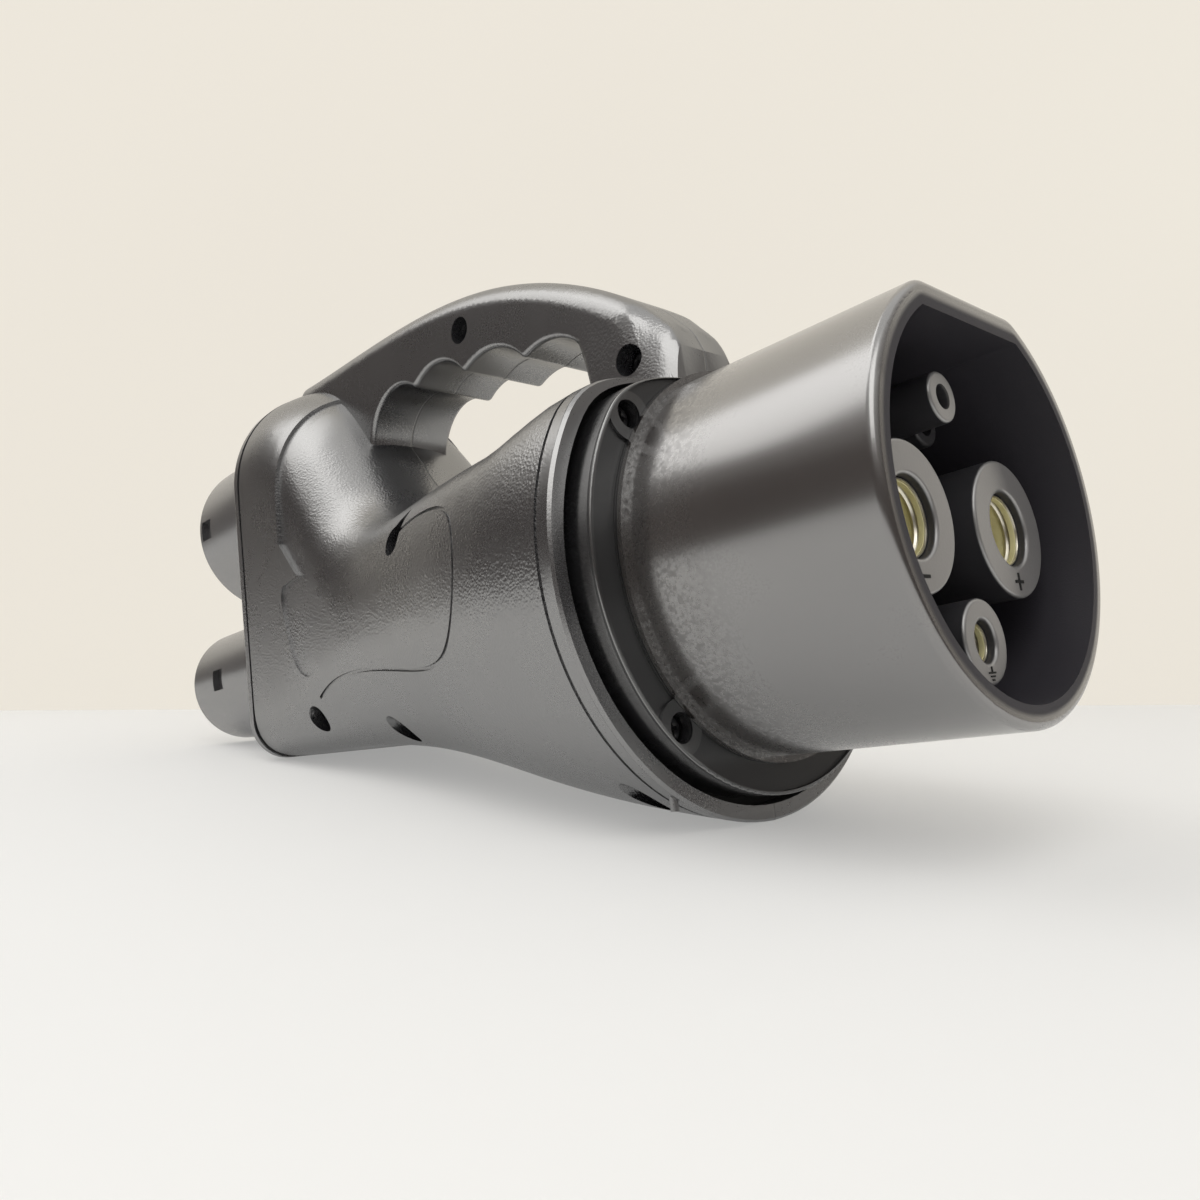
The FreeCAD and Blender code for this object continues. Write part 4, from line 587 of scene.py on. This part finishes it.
def screw_tree():
    """Geometry tree that puts a screw on each point, along its facing and turned by chance."""
    tree = bpy.data.node_groups.new("screws in their seats", "GeometryNodeTree")
    sockets = {}
    for label, kind in (("Geometry", "Geometry"), ("Screw", "Object"), ("Finish", "Material"),
                        ("Seed", "Int")):
        made = tree.interface.new_socket(label, in_out="INPUT", socket_type="NodeSocket" + kind)
        sockets[label] = made.identifier
    tree.interface.new_socket("Geometry", in_out="OUTPUT", socket_type="NodeSocketGeometry")
    nodes = tree.nodes
    given = nodes.new("NodeGroupInput")
    result = nodes.new("NodeGroupOutput")
    axis = nodes.new("GeometryNodeInputNamedAttribute")
    axis.data_type = "FLOAT_VECTOR"
    axis.inputs["Name"].default_value = "facing"
    aim = nodes.new("FunctionNodeAlignRotationToVector")
    aim.axis = "Z"
    turn = nodes.new("FunctionNodeRandomValue")
    turn.data_type = "FLOAT_VECTOR"
    turn.inputs[0].default_value = (0, 0, 0)
    turn.inputs[1].default_value = (0, 0, 2 * math.pi)
    spin = nodes.new("FunctionNodeRotateRotation")
    spin.rotation_space = "LOCAL"
    source = nodes.new("GeometryNodeObjectInfo")
    spread = nodes.new("GeometryNodeInstanceOnPoints")
    real = nodes.new("GeometryNodeRealizeInstances")
    coat = nodes.new("GeometryNodeSetMaterial")
    for giver, outlet, taker, inlet in (
            (axis, "Attribute", aim, "Vector"),
            (aim, "Rotation", spin, "Rotation"),
            (given, "Seed", turn, "Seed"),
            (turn, 0, spin, "Rotate By"),
            (given, "Screw", source, "Object"),
            (given, "Geometry", spread, "Points"),
            (source, "Geometry", spread, "Instance"),
            (spin, "Rotation", spread, "Rotation"),
            (spread, "Instances", real, "Geometry"),
            (real, "Geometry", coat, "Geometry"),
            (given, "Finish", coat, "Material"),
            (coat, "Geometry", result, "Geometry")):
        tree.links.new(giver.outputs[outlet], taker.inputs[inlet])
    return tree, sockets


screws_in_seats, screw_inputs = screw_tree()


def screw_row(name, node, seats, facing, pattern, seed):
    """A node's screws, all of one pattern, on their seats."""
    data = bpy.data.meshes.new(name)
    data.from_pydata([at(*seat) for seat in seats], [], [])
    directions = data.attributes.new("facing", "FLOAT_VECTOR", "POINT")
    for entry in directions.data:
        entry.vector = TIP @ Vector(facing)
    row = bpy.data.objects.new(name, data)
    bpy.context.collection.objects.link(row)
    grown = row.modifiers.new("screws", "NODES")
    grown.node_group = screws_in_seats
    grown[screw_inputs["Screw"]] = pattern
    grown[screw_inputs["Finish"]] = slots["black_screw"].material
    grown[screw_inputs["Seed"]] = seed
    bpy.context.view_layer.update()
    solid = bpy.data.meshes.new_from_object(row.evaluated_get(bpy.context.evaluated_depsgraph_get()))
    row.modifiers.remove(grown)
    row.data = solid
    keep(row, "black_screw", node)


small_screw = screw_pattern("small screw", head_radius=0.0026, head_height=0.0020,
                            shank_radius=0.0015, shank_length=0.0155)
seam_screw = screw_pattern("seam screw", head_radius=0.0032, head_height=0.0026,
                           shank_radius=0.00175, shank_length=0.0150)
# Seats of the screws: across and up on flange and plate, along and up on the seam
FLANGE_SEAT_X, PLATE_SEAT_X = -55.0, -209.0
flange_places = ((32.0, 26.5), (29.0, -30.5))
plate_places = ((21.2, 75.7), (30.6, 28.0), (28.4, -17.4))
seam_places = ((-122.0, 75.2), (TOE_SCREW_X, TOE_SCREW_Z), (-120.0, 19.0),
               (-172.0, -16.0), (-142.0, -22.0), (-67.0, -42.5))
screw_row("flange_screw_row", "flange_screws",
          [(FLANGE_SEAT_X, side * across, up) for side in (-1, 1) for across, up in flange_places],
          (1, 0, 0), small_screw, seed=3)
screw_row("seam_screw_row", "housing_screws", [(x, SEAM_SEAT_Y, z) for x, z in seam_places],
          (0, -1, 0), seam_screw, seed=8)
screw_row("plate_screw_row", "plate_screws",
          [(PLATE_SEAT_X, side * across, up) for side in (-1, 1) for across, up in plate_places],
          (-1, 0, 0), small_screw, seed=5)


# Places of the power and earth contacts, across and up from the axis, in millimetres
POWER_SIDE, POWER_UP, EARTH_UP = 16.8, -2.5, -22.7


# Marks on the faces of the sleeves: a minus, a plus and the common earth sign
def sleeve_marks():
    built = bmesh.new()
    sunk, proud = -7.21, -7.06
    power_mark_up, arm, stem = -12.2, 1.6, 0.27
    earth_up, earth_step, thin = -27.9, 0.6, 0.15
    # each stroke has its middle across and up, its half width and its half height
    strokes = [(-POWER_SIDE, power_mark_up, arm, stem), (POWER_SIDE, power_mark_up, arm, stem),
               (POWER_SIDE, power_mark_up, stem, arm)]
    for number, half in enumerate((1.2, 0.8, 0.4)):
        strokes.append((0.0, earth_up - earth_step * number, half, thin))
    strokes.append((0.0, -27.35, thin, 0.5))
    for across, up, half, tall in strokes:
        bar(built, sunk, proud, [(across - half, up - tall), (across + half, up - tall),
                                 (across + half, up + tall), (across - half, up + tall)])
    return mesh_piece("sleeve_marks", built, "mark_plastic")


keep(sleeve_marks(), "insulator_plastic")


# Front edges of the contacts, seen inside the mouths of the sleeves, as (setback, radius) points
EARTH_SMALLER = 3.15
edge_outline = ((10.15, 6.72), (9.1, 6.72), (8.8, 6.55), (8.8, 6.35), (9.1, 6.22), (10.15, 6.22))
lead_in_outline = ((10.1, 6.20), (9.15, 6.20), (9.2, 6.12), (10.1, 6.12))


def contact_rings(name, slot, outline):
    """The same ring in each sleeve, smaller by one measure in the earth contact's."""
    built = bmesh.new()
    for across, up, smaller in ((-POWER_SIDE, POWER_UP, 0.0), (POWER_SIDE, POWER_UP, 0.0),
                                (0.0, EARTH_UP, EARTH_SMALLER)):
        revolved(built, across, up, [(-back, radius - smaller) for back, radius in outline])
    return mesh_piece(name, built, slot)


keep(contact_rings("contact_edges", "silver_contact", edge_outline), "silver_contact")
keep(contact_rings("contact_lead_ins", "gold_spring", lead_in_outline), "gold_spring")


# Desk, wall, lights and camera
def pale(name, low, high, scale, shown, one_sided=False):
    """Pale matt sheet; shown is how far the camera sees its own tone, whatever light falls on it.
    A one-sided sheet can't be seen from behind."""
    made = Finish(name, Specular_IOR_Level=0.3)
    tone = made.blend(made.clouds(scale, 2), low, high)
    made.paint("Base Color", tone)
    made.paint("Roughness", 0.55 + 0.15 * made.clouds(scale * 40, 2))
    seen = [made.node("ShaderNodeLightPath", output=ray)
            for ray in ("Is Camera Ray", "Is Glossy Ray", "Is Transmission Ray")]
    glow = made.node("ShaderNodeEmission", {}, {"Color": tone})
    mixed = made.node("ShaderNodeMixShader", {}, {0: (seen[0] + seen[1] + seen[2]) * shown,
                                                  1: Field(made, made.surface.outputs[0]), 2: glow})
    if one_sided:
        back = made.node("ShaderNodeNewGeometry", output="Backfacing")
        mixed = made.node("ShaderNodeMixShader", {}, {0: back, 1: mixed,
                                                      2: made.node("ShaderNodeBsdfTransparent")})
    made.tree.links.new(mixed.socket, made.output.inputs["Surface"])
    return made.material


def sheet(name, corners, material):
    """A flat piece of the room round the adapter."""
    data = bpy.data.meshes.new(name)
    data.from_pydata(corners, [], [tuple(range(len(corners)))])
    data.materials.append(material)
    piece = bpy.data.objects.new(name, data)
    bpy.context.collection.objects.link(piece)


# Where the camera stands and looks; the wall stands square to its view, behind the adapter
eye = Vector((0.20295, -0.1599, 0.03865))
ahead = Vector((-0.7238, 0.6896, 0.0233)).normalized()
flat_ahead = Vector((ahead.x, ahead.y, 0)).normalized()
aside = Vector((-flat_ahead.y, flat_ahead.x, 0))
wall_distance, wall_left, wall_right = 0.46, 0.34, 0.95
wall_height, desk_half = Vector((0, 0, 0.75)), 1.3
wall_foot = Vector((eye.x, eye.y, 0)) + flat_ahead * wall_distance
left_foot, right_foot = wall_foot + aside * wall_left, wall_foot - aside * wall_right
sheet("desk", [(-desk_half, -desk_half, 0), (desk_half, -desk_half, 0), (desk_half, desk_half, 0),
               (-desk_half, desk_half, 0)],
      pale("white desk", (0.83, 0.825, 0.81, 1), (0.88, 0.88, 0.87, 1), scale=3, shown=0.35))
sheet("wall", [left_foot, right_foot, right_foot + wall_height, left_foot + wall_height],
      pale("cream wall", (0.82, 0.77, 0.69, 1), (0.88, 0.84, 0.75, 1), scale=2, shown=0.85,
           one_sided=True))

WARM_WHITE = (1.0, 0.985, 0.96)
OBJECT_MIDDLE = Vector((0, 0, 0.05))


def lamp(name, place, side, power):
    """Square ceiling panel that faces the adapter."""
    data = bpy.data.lights.new(name, "AREA")
    data.shape = "RECTANGLE"
    data.size = data.size_y = side
    data.energy = power
    data.color = WARM_WHITE
    made = bpy.data.objects.new(name, data)
    made.location = place
    made.rotation_euler = (OBJECT_MIDDLE - Vector(place)).to_track_quat("-Z", "Y").to_euler()
    bpy.context.collection.objects.link(made)


lamp("left ceiling panel", (-0.60, -0.25, 1.0), side=0.9, power=4.2)
lamp("right ceiling panel", (0.50, -0.50, 0.95), side=0.8, power=3.5)


def room_light():
    """Even light; the eye sees a pale room, gloss a dim warm one at eye level under a bright ceiling."""
    world = bpy.data.worlds.new("room")
    world.use_nodes = True
    tree = world.node_tree
    tree.nodes.clear()

    def wired(kind, *joined):
        made = tree.nodes.new(kind)
        for socket, source in joined:
            tree.links.new(source, made.inputs[socket])
        return made

    split = wired("ShaderNodeSeparateXYZ", ("Vector", wired("ShaderNodeTexCoord").outputs["Generated"]))
    # what gloss sees, from eye level up to the ceiling
    ramp = wired("ShaderNodeValToRGB", ("Fac", split.outputs["Z"]))
    stops = ramp.color_ramp.elements
    stops[0].position, stops[0].color = 0.34, (0.10, 0.085, 0.078, 1)
    stops[1].position, stops[1].color = 0.85, (*WARM_WHITE, 1)
    middle = stops.new(0.60)
    middle.color = (0.50, 0.48, 0.46, 1)
    path = wired("ShaderNodeLightPath")
    shown = wired("ShaderNodeMix")
    shown.data_type = "RGBA"
    tree.links.new(path.outputs["Is Camera Ray"], shown.inputs[0])
    tree.links.new(ramp.outputs["Color"], shown.inputs[6])
    shown.inputs[7].default_value = (0.82, 0.79, 0.73, 1)
    seen = wired("ShaderNodeBackground", ("Color", shown.outputs[2]))
    even = wired("ShaderNodeBackground")
    even.inputs["Color"].default_value = (*WARM_WHITE, 1)
    even.inputs["Strength"].default_value = 0.75
    watched = wired("ShaderNodeMath", (0, path.outputs["Is Camera Ray"]), (1, path.outputs["Is Glossy Ray"]))
    watched = wired("ShaderNodeMath", (0, watched.outputs[0]), (1, path.outputs["Is Transmission Ray"]))
    mixed = wired("ShaderNodeMixShader", (0, watched.outputs[0]), (1, even.outputs[0]),
                  (2, seen.outputs[0]))
    wired("ShaderNodeOutputWorld", ("Surface", mixed.outputs[0]))
    bpy.context.scene.world = world


room_light()

# Camera at the eye, with a slight roll
lens = bpy.data.cameras.new("camera")
lens.lens = 30
lens.sensor_width = 36
lens.clip_start = 0.01
camera = bpy.data.objects.new("camera", lens)
sideways = ahead.cross(Vector((0, 0, 1))).normalized()
facing = Matrix((sideways, sideways.cross(ahead), -ahead)).transposed().to_4x4()
roll = Matrix.Rotation(math.radians(-0.27), 4, "Z")
camera.matrix_world = Matrix.Translation(eye) @ facing @ roll
bpy.context.collection.objects.link(camera)
bpy.context.scene.camera = camera
bpy.context.scene.view_settings.view_transform = "Standard"
